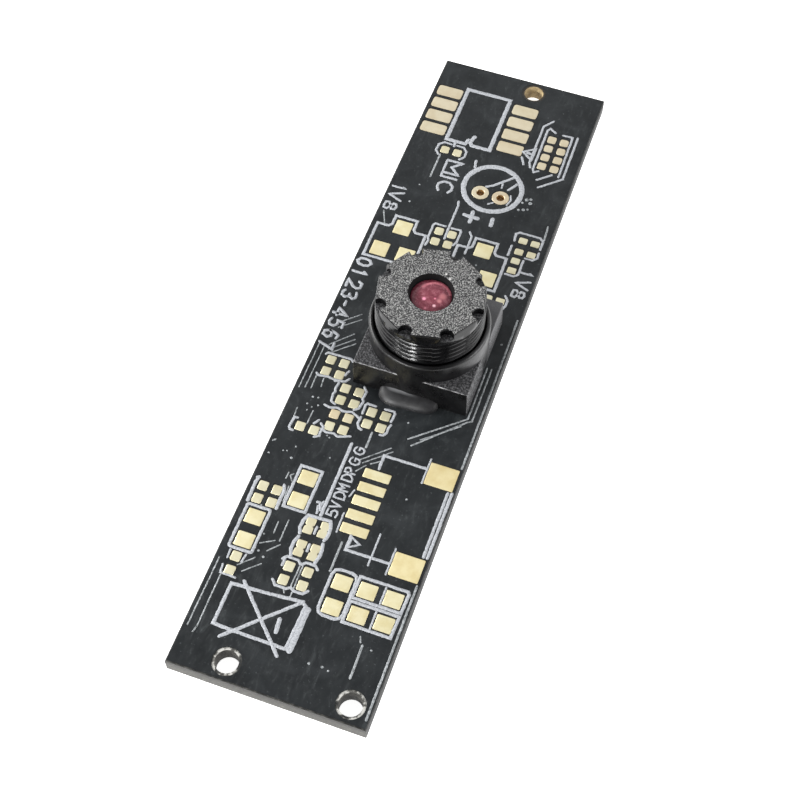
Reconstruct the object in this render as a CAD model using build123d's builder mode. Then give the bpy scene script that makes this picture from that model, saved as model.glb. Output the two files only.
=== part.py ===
# Bare camera board with a screw-in lens: FR-4 laminate, gold lands, white print, moulded holder
# Millimetres. X across the board, Y along it, Z up, origin under the middle of the board
import os
from math import atan2, degrees, hypot

from build123d import *

# Bare board: laminate with a copper and mask layer of equal thickness on each face
board_w = 12.36
board_l = 51.2
drawn_far_strip = 21.87
drawn_near_strip = 21.53
laminate_t = 1.13
copper_t = 0.035
score_bevel = 0.07
mask_side_inset = 0.08
mask_end_inset = 0.1
mask_gap = 0.05
silk_t = 0.02

# Mounting holes: two beside the near end, one in the middle line of that pair at the far end
hole_d = 1.42
hole_pitch = 7.62
hole_line_x = 1.02
near_hole_edge = 1.17
far_hole_edge = 1.07
hole_clear_ring = 0.18

# Microphone: a plated pair of holes inside a printed ring, with its polarity marks below
mic_from_left = 7.12
mic_from_far = 11.02
mic_ring_d = 4.54
mic_ring_line = 0.38
mic_lead_pitch = 1.49
mic_lead_drop = 0.59
mic_land_d = 1.22
mic_drill_d = 0.56
plating_t = 0.05
polarity_drop = 2.92
polarity_minus_side = 0.84
polarity_span = 1.5
polarity_arm = 0.34

# Lands: width across the board by length along it
flash_land = (1.88, 0.98)
flash_pitch = 1.27
flash_rows = 4
flash_span = 5.86
flash_from_left = 4.2
flash_from_far = 5.0
network_land = (0.62, 0.65)
network_pitch = 0.89
network_rows = 4
network_span = 0.93
network_from_right = 2.13
network_from_far = 6.42
regulator_land = (1.17, 1.2)
regulator_drop = 2.23
regulator_span = 1.84
regulator_from_far = 17.65
regulator_from_left = (2.3, 8.18)
chip_land = (0.61, 0.65)
chip_pitch = 0.93
small_land = (0.6, 0.52)
small_pitch = 0.88
small_row_pitch = 1.01
notched_land = (0.6, 1.1)
notched_pitch = 1.6
land_notch = 0.13
wide_chip_pitch = 1.2
power_land = (1.1, 1.0)
power_pitch = 1.63
plug_land = (1.73, 0.66)
plug_pitch = 1.0
plug_ways = 5
plug_from_right = 5.01
plug_from_near = 13.53
tab_land = (1.88, 1.6)
tab_span = 6.55
tab_from_right = 1.2
plug_bar_setback = 2.29
plug_bar_far = 3.62
plug_bar_near = 1.62
plug_corner_reach = 1.18
plug_mouth_from_right = 0.49

# Places of the small parts: across from one long edge, and along from one end
pair_from_left = 3.2
pair_from_far = 8.64
block_from_left = 5.22
block_from_far = 16.4
right_block_from_right = 1.42
right_block_from_far = 15.28
right_single_drops = (1.34, 2.22)
right_pair_drop = 4.97
right_pair_inset = 0.84
beside_lens = ((-5.31, 3.23), (-3.63, 4.99), (-3.61, 7.05), (-1.42, 6.1))
beside_lens_pair = (-5.35, 8.15)
left_chip_from_left = 1.42
left_chip_from_near = 12.04
left_power_from_left = 1.32
left_power_from_near = 9.5
left_small_from_left = 1.28
left_small_from_near = 7.02
small_column_pitch = 0.97
mid_power_from_left = 3.38
mid_power_from_near = 13.1
notched_from_right = 7.22
notched_from_near = 10.1
wide_chip_from_right = 7.24
wide_chip_from_near = 7.5
near_power_from_right = 4.48
power_rows_from_right = 2.06
power_rows_from_near = 7.2

# Print: line widths, and the gap from a land's edge to the middle of the line round it
fine_line = 0.17
print_line = 0.2
bold_line = 0.3
land_to_line = 0.21
corner_cut = 0.22
box_cut = 0.36
flash_side_gap = 0.34
flash_nick = 0.14
flash_nick_depth = 0.42
network_gap = 0.17
network_line_pitch = 0.42
network_slant = 0.52
crossed_box_from_left = 1.7
crossed_box_from_right = 6.08
crossed_box_from_near = (5.95, 3.05)

# Lens holder: square foot with drafted walls and a round collar that swells past them
holder_x = 1.15
holder_y = -0.17
foot_side = 7.76
foot_h = 2.3
foot_draft = 1.5
collar_d = 7.8
collar_top = 3.8
collar_edge_cut = 0.2
mouth_d = 7.24
mouth_depth = 0.35
chamber_side = 6.3
chamber_h = 1.45
bead_l = 4.1
bead_reach = 0.96
bead_h = 0.72
bead_slope = 32

# Lens barrel: threaded cylinder under an eight-sided grip head with a notch at each corner
thread_d = 7.0
thread_gap = 0.06
head_d = 6.96
head_top = 6.55
facet_h = 0.85
facet_slope = 8.0
grip_notches = 8
grip_turn = 35.2
notch_d = 0.84
notch_inset = 0.15
notch_depth = 0.5
notch_sides = 8
aperture_d = 2.88
aperture_throat_d = 2.66
aperture_depth = 0.3
barrel_gap_below = 0.35
barrel_bore_d = 5.0
barrel_front_wall = 0.75

# Optics: stacked in the barrel's bore from the front wall down
optic_gap = 0.02
front_rim_t = 0.6
front_dome_r = 2.4
stop_t = 0.1
stop_d = 1.3
spacer_t = 1.2
spacer_d = 3.6
rear_rim_t = 1.0
rear_dome_r = 7.0
filter_t = 0.3
ring_t = 0.5
ring_d = 4.0

# Image sensor: leadless package with a die well under a glued cover glass
sensor_side = 5.4
sensor_h = 0.62
sensor_well = 4.2
sensor_well_depth = 0.3
die_size = (3.8, 3.4)
die_t = 0.2
glass_side = 5.0
glass_t = 0.3
solder_h = 0.05
solder_pad = (0.35, 0.3)
solder_pitch = 0.7
solder_rows = 6

# Levels
mask_t = copper_t
laminate_z = mask_t
copper_z = laminate_z + laminate_t
surface_z = copper_z + mask_t
collar_top_z = surface_z + collar_top
head_top_z = surface_z + head_top
sensor_z = surface_z + solder_h
glass_z = sensor_z + sensor_h
barrel_z = glass_z + glass_t + barrel_gap_below

# Plan positions: the strips between the lens collar and the ends share out any change of length
near_holes = [(hole_line_x + side * hole_pitch / 2, near_hole_edge - board_l / 2) for side in (-1, 1)]
far_hole = (hole_line_x, board_l / 2 - far_hole_edge)
far_stretch = (board_l / 2 - holder_y - collar_d / 2) / drawn_far_strip
near_stretch = (board_l / 2 + holder_y - collar_d / 2) / drawn_near_strip


def finish(piece, name):
    """Labels one finished piece and writes its file."""
    piece.part.label = name
    export_step(piece.part, "parts/" + name + ".step")
    print(name, "solids", len(piece.part.solids()), "volume", round(piece.part.volume, 4))


def far_left(from_left, from_far, stretch=1.0):
    """A place on the board, from its left and far edges."""
    return (from_left - board_w / 2, board_l / 2 - from_far * stretch)


def far_right(from_right, from_far, stretch=1.0):
    """A place on the board, from its right and far edges."""
    return (board_w / 2 - from_right, board_l / 2 - from_far * stretch)


def near_left(from_left, from_near):
    """A place on the board, from its left and near edges."""
    return (from_left - board_w / 2, from_near * near_stretch - board_l / 2)


def near_right(from_right, from_near):
    """A place on the board, from its right and near edges."""
    return (board_w / 2 - from_right, from_near * near_stretch - board_l / 2)


def from_place(place, right, down):
    """A place a little to the right of another one, and towards the near end."""
    return (place[0] + right, place[1] - down)


def grid(centre, across, along, pitch_x, pitch_y):
    """The places of a block of lands with its middle at centre."""
    x0 = centre[0] - (across - 1) * pitch_x / 2
    y0 = centre[1] - (along - 1) * pitch_y / 2
    return [(x0 + i * pitch_x, y0 + j * pitch_y) for j in range(along) for i in range(across)]


def lens_plane(z):
    """A level plane with its origin on the lens axis."""
    return Plane((holder_x, holder_y, z))


# Where each block of lands lies
lens_place = (holder_x, holder_y)
mic_centre = far_left(mic_from_left, mic_from_far, far_stretch)
mic_leads = [from_place(mic_centre, side * mic_lead_pitch / 2, mic_lead_drop) for side in (-1, 1)]
flash_centre = far_left(flash_from_left, flash_from_far)
network_centre = far_right(network_from_right, network_from_far)
regulators = [far_left(x, regulator_from_far, far_stretch) for x in regulator_from_left]
pair_centre = far_left(pair_from_left, pair_from_far)
block_centre = far_left(block_from_left, block_from_far, far_stretch)
right_block = far_right(right_block_from_right, right_block_from_far, far_stretch)
right_pair = from_place(right_block, -right_pair_inset, right_pair_drop)
lens_blocks = [from_place(lens_place, *offset) for offset in beside_lens]
lens_pair = from_place(lens_place, *beside_lens_pair)
left_chip = near_left(left_chip_from_left, left_chip_from_near)
left_power = near_left(left_power_from_left, left_power_from_near)
left_small = near_left(left_small_from_left, left_small_from_near)
mid_power = near_left(mid_power_from_left, mid_power_from_near)
notched_centre = near_right(notched_from_right, notched_from_near)
wide_chip = near_right(wide_chip_from_right, wide_chip_from_near)
near_power = near_right(near_power_from_right, power_rows_from_near)
power_rows = near_right(power_rows_from_right, power_rows_from_near)
plug_centre = near_right(plug_from_right, plug_from_near)
tab_centre = near_right(tab_from_right, plug_from_near)


def regulator_lands(centre):
    """One land at the far side, and two at the near side."""
    step = regulator_drop / 2
    half = regulator_span / 2
    return [from_place(centre, *offset) for offset in ((0, -step), (-half, step), (half, step))]


def square_block(centre):
    """The four lands of a block of two chips."""
    return grid(centre, 2, 2, chip_pitch, chip_pitch)


right_singles = [from_place(right_block, -small_pitch / 2, drop) for drop in right_single_drops]
sensor_reach = sensor_side / 2 - solder_pad[1] / 2
row_length = (solder_rows - 1) * solder_pitch
sensor_rows = [
    place
    for side in (-1, 1)
    for place in grid((holder_x, holder_y + side * sensor_reach), solder_rows, 1, solder_pitch, solder_pitch)
]
sensor_columns = [
    place
    for side in (-1, 1)
    for place in grid((holder_x + side * sensor_reach, holder_y), 1, solder_rows, solder_pitch, solder_pitch)
]
solder_turned = (solder_pad[1], solder_pad[0])

land_blocks = {
    "pads_flash_chip": (flash_land, grid(flash_centre, 2, flash_rows, flash_span, flash_pitch)),
    "pads_resistor_network": (
        network_land,
        grid(network_centre, 2, network_rows, network_span, network_pitch),
    ),
    "pads_regulator_left": (regulator_land, regulator_lands(regulators[0])),
    "pads_regulator_right": (regulator_land, regulator_lands(regulators[1])),
    "pads_chips_far": (
        chip_land,
        grid(pair_centre, 2, 1, chip_pitch, chip_pitch) + square_block(block_centre),
    ),
    "pads_small_far": (
        small_land,
        grid(right_block, 2, 2, small_pitch, small_row_pitch)
        + right_singles
        + grid(right_pair, 2, 1, small_pitch, small_pitch),
    ),
    "pads_chips_middle": (
        chip_land,
        [place for block in lens_blocks for place in square_block(block)]
        + grid(lens_pair, 2, 1, chip_pitch, chip_pitch),
    ),
    "pads_chips_near": (
        chip_land,
        square_block(left_chip)
        + grid(wide_chip, 2, 2, wide_chip_pitch, chip_pitch)
        + grid(left_small, 1, 2, chip_pitch, small_column_pitch),
    ),
    "pads_notched": (notched_land, grid(notched_centre, 2, 2, chip_pitch, notched_pitch)),
    "pads_power_chips": (
        power_land,
        grid(mid_power, 1, 2, power_pitch, power_pitch)
        + grid(left_power, 1, 2, power_pitch, power_pitch)
        + grid(near_power, 1, 2, power_pitch, power_pitch)
        + grid(power_rows, 2, 2, power_pitch, power_pitch),
    ),
    "pads_plug_contacts": (plug_land, grid(plug_centre, 1, plug_ways, plug_pitch, plug_pitch)),
    "pads_plug_tabs": (tab_land, grid(tab_centre, 1, 2, tab_span, tab_span)),
}
sensor_blocks = {
    "pads_sensor_rows": (solder_pad, sensor_rows),
    "pads_sensor_columns": (solder_turned, sensor_columns),
}


def make_board():
    """Laminate, sheared square at its ends and scored along its sides, drilled for screws and leads."""
    with BuildPart() as laminate:
        with BuildSketch(Plane.XY.offset(laminate_z)):
            Rectangle(board_w, board_l)
        extrude(amount=laminate_t)
        long_edges = laminate.faces().sort_by(Axis.Z)[-1].edges().filter_by(Axis.Y)
        chamfer(long_edges, score_bevel)
        with BuildSketch(Plane.XY.offset(laminate_z)):
            with Locations(*near_holes, far_hole):
                Circle(hole_d / 2)
            with Locations(*mic_leads):
                Circle(mic_drill_d / 2 + plating_t)
        extrude(amount=laminate_t, mode=Mode.SUBTRACT)
    finish(laminate, "board_laminate")


def make_masks():
    """Lacquer on each face: open round every land, hole and plated lead, and held back from the edges."""
    with BuildPart() as front:
        with BuildSketch(Plane.XY.offset(copper_z)):
            Rectangle(board_w - 2 * mask_side_inset, board_l - 2 * mask_end_inset)
            for size, places in land_blocks.values():
                with Locations(*places):
                    Rectangle(size[0] + 2 * mask_gap, size[1] + 2 * mask_gap, mode=Mode.SUBTRACT)
            strip_l = row_length + solder_pad[0] + 2 * mask_gap
            strip_w = solder_pad[1] + 2 * mask_gap
            with Locations(*[(holder_x, holder_y + side * sensor_reach) for side in (-1, 1)]):
                Rectangle(strip_l, strip_w, mode=Mode.SUBTRACT)
            with Locations(*[(holder_x + side * sensor_reach, holder_y) for side in (-1, 1)]):
                Rectangle(strip_w, strip_l, mode=Mode.SUBTRACT)
            with Locations(*mic_leads):
                Circle(mic_land_d / 2 + mask_gap, mode=Mode.SUBTRACT)
            with Locations(*near_holes, far_hole):
                Circle(hole_d / 2 + hole_clear_ring, mode=Mode.SUBTRACT)
        extrude(amount=mask_t)
    finish(front, "solder_mask_front")

    with BuildPart() as back:
        with BuildSketch(Plane.XY):
            Rectangle(board_w - 2 * mask_end_inset, board_l - 2 * mask_end_inset)
            with Locations(*mic_leads):
                Circle(mic_land_d / 2 + mask_gap, mode=Mode.SUBTRACT)
            with Locations(*near_holes, far_hole):
                Circle(hole_d / 2 + hole_clear_ring, mode=Mode.SUBTRACT)
        extrude(amount=mask_t)
    finish(back, "solder_mask_back")


def make_lands():
    """Gold-plated copper lands, one file for each block; the notched ones are pinched in at the waist."""
    for name, (size, places) in (land_blocks | sensor_blocks).items():
        with BuildPart() as lands:
            with BuildSketch(Plane.XY.offset(copper_z)):
                with Locations(*places):
                    Rectangle(*size)
                if name == "pads_notched":
                    waists = [(x + side * size[0] / 2, y) for x, y in places for side in (-1, 1)]
                    with Locations(*waists):
                        RegularPolygon(land_notch, 4, mode=Mode.SUBTRACT)
            extrude(amount=copper_t)
        finish(lands, name)


def make_plated_leads():
    """Two through-plated holes for the microphone, each a tube with a land at both ends."""
    with BuildPart() as leads:
        for z in (0, copper_z):
            with BuildSketch(Plane.XY.offset(z)):
                with Locations(*mic_leads):
                    Circle(mic_land_d / 2)
            extrude(amount=copper_t)
        with BuildSketch(Plane.XY):
            with Locations(*mic_leads):
                Circle(mic_drill_d / 2 + plating_t)
        extrude(amount=surface_z)
        with BuildSketch(Plane.XY):
            with Locations(*mic_leads):
                Circle(mic_drill_d / 2)
        extrude(amount=surface_z, mode=Mode.SUBTRACT)
    finish(leads, "microphone_plated_holes")


def strokes(lines, width):
    """Printed lines with square ends, each from one point to another, in the sketch that is open."""
    for (x0, y0), (x1, y1) in lines:
        middle = ((x0 + x1) / 2, (y0 + y1) / 2)
        angle = degrees(atan2(y1 - y0, x1 - x0))
        with Locations(middle):
            Rectangle(hypot(x1 - x0, y1 - y0) + width, width, rotation=angle)


def path_lines(*points):
    """The strokes of one printed line that turns at its points."""
    return list(zip(points[:-1], points[1:]))


def box_lines(centre, half_x, half_y, cut=0.0):
    """A printed box round a place, with its corners cut off or square."""
    x, y = centre
    points = [
        (x - half_x + cut, y - half_y), (x + half_x - cut, y - half_y), (x + half_x, y - half_y + cut),
        (x + half_x, y + half_y - cut), (x + half_x - cut, y + half_y), (x - half_x + cut, y + half_y),
        (x - half_x, y + half_y - cut), (x - half_x, y - half_y + cut),
    ]
    lines = path_lines(*points, points[0])
    return [line for line in lines if line[0] != line[1]]


def cup_lines(centre, half_x, half_y, side):
    """A printed bracket at the left or right of a block, its corners cut off."""
    offsets = (
        (side * (half_x - corner_cut), half_y), (side * half_x, half_y - corner_cut),
        (side * half_x, corner_cut - half_y), (side * (half_x - corner_cut), -half_y),
    )
    return path_lines(*[from_place(centre, *offset) for offset in offsets])


def lid_lines(centre, half_x, half_y, side):
    """A printed bracket at the near or far side of a block, its corners cut off."""
    offsets = (
        (-half_x, side * (half_y - corner_cut)), (corner_cut - half_x, side * half_y),
        (half_x - corner_cut, side * half_y), (half_x, side * (half_y - corner_cut)),
    )
    return path_lines(*[from_place(centre, *offset) for offset in offsets])


def offset_lines(centre, *offsets):
    """The strokes of one printed line, its points given from a place."""
    return path_lines(*[from_place(centre, *offset) for offset in offsets])


def regulator_lines(centre):
    """A body outline that steps in beside the single land."""
    wide = regulator_span / 2 + regulator_land[0] / 2 + land_to_line
    narrow = regulator_land[0] / 2 + land_to_line
    end = regulator_drop / 2 + regulator_land[1] / 2 + land_to_line
    step = end - regulator_land[1] + land_to_line
    return offset_lines(
        centre, (-wide, end), (wide, end), (wide, -step), (narrow, -step), (narrow, -end),
        (-narrow, -end), (-narrow, -step), (-wide, -step), (-wide, end),
    )


def flash_lines():
    """The memory chip's body outline between its two rows of lands, with a nick at its near side."""
    half_w = flash_span / 2 - flash_land[0] / 2 - flash_side_gap
    half_l = (flash_rows - 1) * flash_pitch / 2 + flash_land[1] / 2 + land_to_line
    return offset_lines(
        flash_centre, (flash_nick, half_l - flash_nick_depth), (flash_nick, half_l), (half_w, half_l),
        (half_w, -half_l), (-half_w, -half_l), (-half_w, half_l), (-flash_nick, half_l),
        (-flash_nick, half_l - flash_nick_depth),
    )


def network_lines():
    """Two upright lines at each side of the resistor network, and slanted ones at their ends."""
    inner = network_span / 2 + network_land[0] / 2 + network_gap
    outer = inner + network_line_pitch
    end = (network_rows - 1) * network_pitch / 2 + network_land[1] / 2 + land_to_line
    slant = network_slant
    return (
        offset_lines(network_centre, (-outer + slant, -end - slant), (-outer, -end), (-outer, end - slant))
        + offset_lines(network_centre, (-inner, -end), (-inner, end), (slant - inner, end + slant / 2))
        + offset_lines(network_centre, (0, -end), (inner, -end), (inner, end))
        + offset_lines(network_centre, (outer, -end), (outer, end), (0, end + 2 * slant))
    )


def small_box_lines():
    """Rounded outlines round the small lands at the right edge."""
    side = small_pitch / 2 + small_land[0] / 2 + land_to_line
    row = small_row_pitch / 2
    end = row + small_land[1] / 2 + land_to_line
    low = right_single_drops[1] + small_land[1] / 2 + land_to_line
    cut = corner_cut
    return (
        offset_lines(
            right_block, (-side, -row + cut), (-side, cut - end), (cut - side, -end),
            (side - cut, -end), (side, cut - end), (side, -cut / 2),
        )
        + offset_lines(right_block, (-side, row - cut), (-side, end))
        + offset_lines(right_block, (side, cut / 2), (side, end - cut), (side - cut, end), (cut, end))
        + offset_lines(
            right_block, (cut / 2, end + cut), (cut / 2, low - cut), (-cut / 2, low), (cut - side, low)
        )
    )


def plug_lines():
    """The plug's outline: two corners over the contacts, and its mouth along the board's edge."""
    reach = (plug_ways - 1) * plug_pitch / 2 + plug_land[1] / 2
    corner = reach + plug_corner_reach
    tab_side = tab_centre[0] - plug_centre[0] - tab_land[0] / 2
    mouth = board_w / 2 - plug_mouth_from_right - plug_centre[0]
    tab_end = tab_span / 2 - tab_land[1] / 2 - land_to_line / 2
    return (
        offset_lines(plug_centre, (0, -corner + plug_pitch - fine_line), (0, -corner), (tab_side, -corner))
        + offset_lines(plug_centre, (0, corner - plug_pitch + fine_line), (0, corner), (tab_side, corner))
        + offset_lines(plug_centre, (mouth, -tab_end), (mouth, tab_end))
    )


def crossed_box_lines():
    """A plain crossed box at the near end."""
    far_corner, near_corner = [near_left(crossed_box_from_left, end) for end in crossed_box_from_near]
    far_end, near_end = [near_right(crossed_box_from_right, end) for end in crossed_box_from_near]
    return (
        path_lines(far_corner, far_end, near_end, near_corner, far_corner)
        + path_lines(far_corner, near_end)
        + path_lines(near_corner, far_end)
    )


def make_print():
    """White print on the mask: body outlines, polarity marks and guide lines."""
    block_half = chip_pitch / 2 + chip_land[0] / 2 + land_to_line
    cup_half = block_half - fine_line / 2
    power_half = (power_land[0] / 2 + land_to_line, power_land[1] / 2 + land_to_line)
    block_side = chip_pitch / 2 + chip_land[0] / 2
    notched_half = (chip_pitch / 2 + notched_land[0] / 2, notched_pitch / 2 + notched_land[1] / 2)
    plug_bar = from_place(plug_centre, -plug_bar_setback, 0)
    minus = from_place(mic_centre, polarity_minus_side, polarity_drop)
    plus = from_place(mic_centre, polarity_minus_side - polarity_span, polarity_drop)
    arm = polarity_arm
    prints = {
        "print_flash_outline": [(flash_lines(), bold_line)],
        "print_network_outline": [(network_lines(), fine_line)],
        "print_regulator_outlines": [
            ([line for place in regulators for line in regulator_lines(place)], print_line),
        ],
        "print_chip_boxes": [
            (
                [
                    line
                    for block, shape in zip(lens_blocks, (lid_lines, cup_lines, lid_lines, cup_lines))
                    for side in (-1, 1)
                    for line in shape(block, block_half, cup_half, side)
                ]
                + cup_lines(block_centre, block_half, cup_half, -1)
                + cup_lines(block_centre, block_half, cup_half, 1)
                + cup_lines(pair_centre, block_half, chip_pitch / 2 + corner_cut, -1)
                + cup_lines(pair_centre, block_half, chip_pitch / 2 + corner_cut, 1)
                + cup_lines(lens_pair, block_half, chip_pitch / 2 + corner_cut, -1)
                + cup_lines(left_chip, block_half, block_side, -1)
                + cup_lines(left_chip, block_half, block_side, 1)
                + lid_lines(notched_centre, notched_half[0], notched_half[1] + corner_cut, -1)
                + cup_lines(notched_centre, block_half, notched_half[1], -1)
                + cup_lines(notched_centre, block_half, notched_half[1], 1)
                + lid_lines(wide_chip, block_half + land_to_line, block_half, -1)
                + lid_lines(wide_chip, block_half + land_to_line, block_half, 1),
                fine_line,
            ),
        ],
        "print_small_boxes": [(small_box_lines(), fine_line)],
        "print_plug_outline": [
            (plug_lines(), print_line),
            (offset_lines(plug_bar, (0, -plug_bar_far), (0, plug_bar_near)), print_line),
        ],
        "print_power_boxes": [
            (
                box_lines(left_power, power_half[0], power_half[1] + power_pitch / 2)
                + box_lines(mid_power, power_half[0], power_half[1] + power_pitch / 2)
                + box_lines(near_power, power_half[0], power_half[1] + power_pitch / 2, box_cut)
                + [
                    line
                    for place in grid(power_rows, 1, 2, power_pitch, power_pitch)
                    for line in box_lines(place, power_half[0] + power_pitch / 2, power_half[1])
                ],
                print_line,
            ),
        ],
        "print_polarity_marks": [
            (offset_lines(plus, (-arm, 0), (arm, 0)) + offset_lines(plus, (0, -arm), (0, arm)), bold_line),
            (offset_lines(minus, (0, -arm / 2), (0, arm / 2)), bold_line),
        ],
        "print_crossed_box": [(crossed_box_lines(), print_line)],
    }
    for name, groups in prints.items():
        with BuildPart() as marks:
            with BuildSketch(Plane.XY.offset(surface_z)):
                for lines, width in groups:
                    strokes(lines, width)
            extrude(amount=silk_t)
        finish(marks, name)

    with BuildPart() as ring:
        with BuildSketch(Plane.XY.offset(surface_z)):
            with Locations(mic_centre):
                Circle(mic_ring_d / 2)
                Circle(mic_ring_d / 2 - mic_ring_line, mode=Mode.SUBTRACT)
        extrude(amount=silk_t)
    finish(ring, "print_microphone_ring")


def make_holder():
    """Moulded in one shot: a drafted square foot, a threaded collar and a chamber over the sensor."""
    with BuildPart() as holder:
        with BuildSketch(lens_plane(surface_z)):
            Rectangle(foot_side, foot_side)
        extrude(amount=foot_h, taper=foot_draft)
        with BuildSketch(lens_plane(surface_z)):
            Circle(collar_d / 2)
        extrude(amount=collar_top)
        chamfer(holder.faces().sort_by(Axis.Z)[-1].edges(), collar_edge_cut)
        with BuildSketch(lens_plane(collar_top_z)):
            Circle(mouth_d / 2)
        extrude(amount=-mouth_depth, mode=Mode.SUBTRACT)
        with BuildSketch(lens_plane(surface_z)):
            Circle(thread_d / 2 + thread_gap)
        extrude(amount=collar_top, mode=Mode.SUBTRACT)
        with BuildSketch(lens_plane(surface_z)):
            Rectangle(chamber_side, chamber_side)
        extrude(amount=chamber_h, mode=Mode.SUBTRACT)
    finish(holder, "lens_holder")

    with BuildPart() as bead:
        with BuildSketch(lens_plane(surface_z)):
            with Locations((0, -max(foot_side, collar_d) / 2)):
                SlotOverall(bead_l, 2 * bead_reach)
        extrude(amount=bead_h, taper=bead_slope)
        with BuildSketch(lens_plane(surface_z)):
            Rectangle(foot_side, foot_side)
        extrude(amount=foot_h, taper=foot_draft, mode=Mode.SUBTRACT)
        with BuildSketch(lens_plane(surface_z)):
            Circle(collar_d / 2)
        extrude(amount=collar_top, mode=Mode.SUBTRACT)
    finish(bead, "holder_glue_bead")


def make_barrel():
    """Moulded lens barrel: eight sloping flats round its face, a notch at each corner, a stepped bore."""
    head_z = head_top_z - facet_h
    wall_z = head_top_z - barrel_front_wall
    low_apothem = head_d / 2
    with BuildPart() as barrel:
        with BuildSketch(lens_plane(head_z)):
            RegularPolygon(low_apothem, grip_notches, major_radius=False, rotation=grip_turn)
        extrude(amount=facet_h, taper=facet_slope)
        with BuildSketch(lens_plane(head_z)):
            Circle(head_d / 2)
        extrude(amount=facet_h, mode=Mode.INTERSECT)
        with BuildSketch(lens_plane(barrel_z)):
            Circle(thread_d / 2)
        extrude(amount=head_z - barrel_z)
        with BuildSketch(lens_plane(head_top_z)):
            with PolarLocations(head_d / 2 - notch_inset, grip_notches, start_angle=grip_turn):
                RegularPolygon(notch_d / 2, notch_sides, rotation=180 / notch_sides)
        extrude(amount=-notch_depth, mode=Mode.SUBTRACT)
        with BuildSketch(lens_plane(barrel_z)):
            Circle(barrel_bore_d / 2)
        extrude(amount=wall_z - barrel_z, mode=Mode.SUBTRACT)
        with BuildSketch(Plane((holder_x, holder_y, head_top_z), x_dir=(1, 0, 0), z_dir=(0, -1, 0))):
            with BuildLine():
                Polyline(
                    (0, 0), (aperture_d / 2, 0), (aperture_throat_d / 2, -aperture_depth),
                    (aperture_throat_d / 2, -barrel_front_wall), (0, -barrel_front_wall), close=True,
                )
            make_face()
        revolve(axis=Axis((holder_x, holder_y, 0), (0, 0, 1)), mode=Mode.SUBTRACT)
    finish(barrel, "lens_barrel")


def dome_height(radius, reach):
    """How far a sphere of that radius rises over a circle of that reach."""
    return radius - (radius**2 - reach**2) ** 0.5


def make_disc(name, z, thickness, bore=0.0):
    """A round piece that fits the barrel's bore, with a hole through it or none."""
    with BuildPart() as disc:
        with BuildSketch(lens_plane(z)):
            Circle(barrel_bore_d / 2 - optic_gap)
            if bore:
                Circle(bore / 2, mode=Mode.SUBTRACT)
        extrude(amount=thickness)
    finish(disc, name)


def make_domed_lens(name, z, rim_t, reach, radius):
    """A lens with a flat rim, a flat back and a domed front, turned about the lens axis."""
    edge = barrel_bore_d / 2 - optic_gap
    rise = dome_height(radius, reach)
    with BuildPart() as lens:
        with BuildSketch(Plane((holder_x, holder_y, z), x_dir=(1, 0, 0), z_dir=(0, -1, 0))):
            with BuildLine():
                Polyline((0, rim_t + rise), (0, 0), (edge, 0), (edge, rim_t), (reach, rim_t))
                RadiusArc((reach, rim_t), (0, rim_t + rise), -radius)
            make_face()
        revolve(axis=Axis((holder_x, holder_y, 0), (0, 0, 1)))
    finish(lens, name)


def make_optics():
    """Front lens, stop, spacer, rear lens, infrared filter and retaining ring, from the front wall down."""
    z = head_top_z - barrel_front_wall - front_rim_t
    make_domed_lens("front_lens", z, front_rim_t, aperture_throat_d / 2 - 2 * optic_gap, front_dome_r)
    z -= stop_t
    make_disc("aperture_stop", z, stop_t, stop_d)
    z -= spacer_t
    make_disc("lens_spacer", z, spacer_t, spacer_d)
    z -= rear_rim_t
    make_domed_lens("rear_lens", z, rear_rim_t, spacer_d / 2 - 2 * optic_gap, rear_dome_r)
    z -= filter_t
    make_disc("infrared_filter", z, filter_t)
    z -= ring_t
    make_disc("retaining_ring", z, ring_t, ring_d)


def make_sensor():
    """Leadless package on solder fillets, with the die in its well and a cover glass on top."""
    with BuildPart() as solder:
        for size, places in sensor_blocks.values():
            with BuildSketch(Plane.XY.offset(surface_z)):
                with Locations(*places):
                    Rectangle(*size)
            extrude(amount=solder_h)
    finish(solder, "sensor_solder")

    with BuildPart() as package:
        with BuildSketch(lens_plane(sensor_z)):
            Rectangle(sensor_side, sensor_side)
        extrude(amount=sensor_h)
        with BuildSketch(lens_plane(glass_z)):
            Rectangle(sensor_well, sensor_well)
        extrude(amount=-sensor_well_depth, mode=Mode.SUBTRACT)
    finish(package, "sensor_package")

    with BuildPart() as die:
        with BuildSketch(lens_plane(glass_z - sensor_well_depth)):
            Rectangle(*die_size)
        extrude(amount=die_t)
    finish(die, "sensor_die")

    with BuildPart() as glass:
        with BuildSketch(lens_plane(glass_z)):
            Rectangle(glass_side, glass_side)
        extrude(amount=glass_t)
    finish(glass, "sensor_cover_glass")


os.makedirs("parts", exist_ok=True)
make_board()
make_masks()
make_lands()
make_plated_leads()
make_print()
make_holder()
make_barrel()
make_optics()
make_sensor()
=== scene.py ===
import random
from math import asin, cos, hypot, pi, radians, sin, sqrt, tau

import bpy
from mathutils import Matrix, Vector


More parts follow.
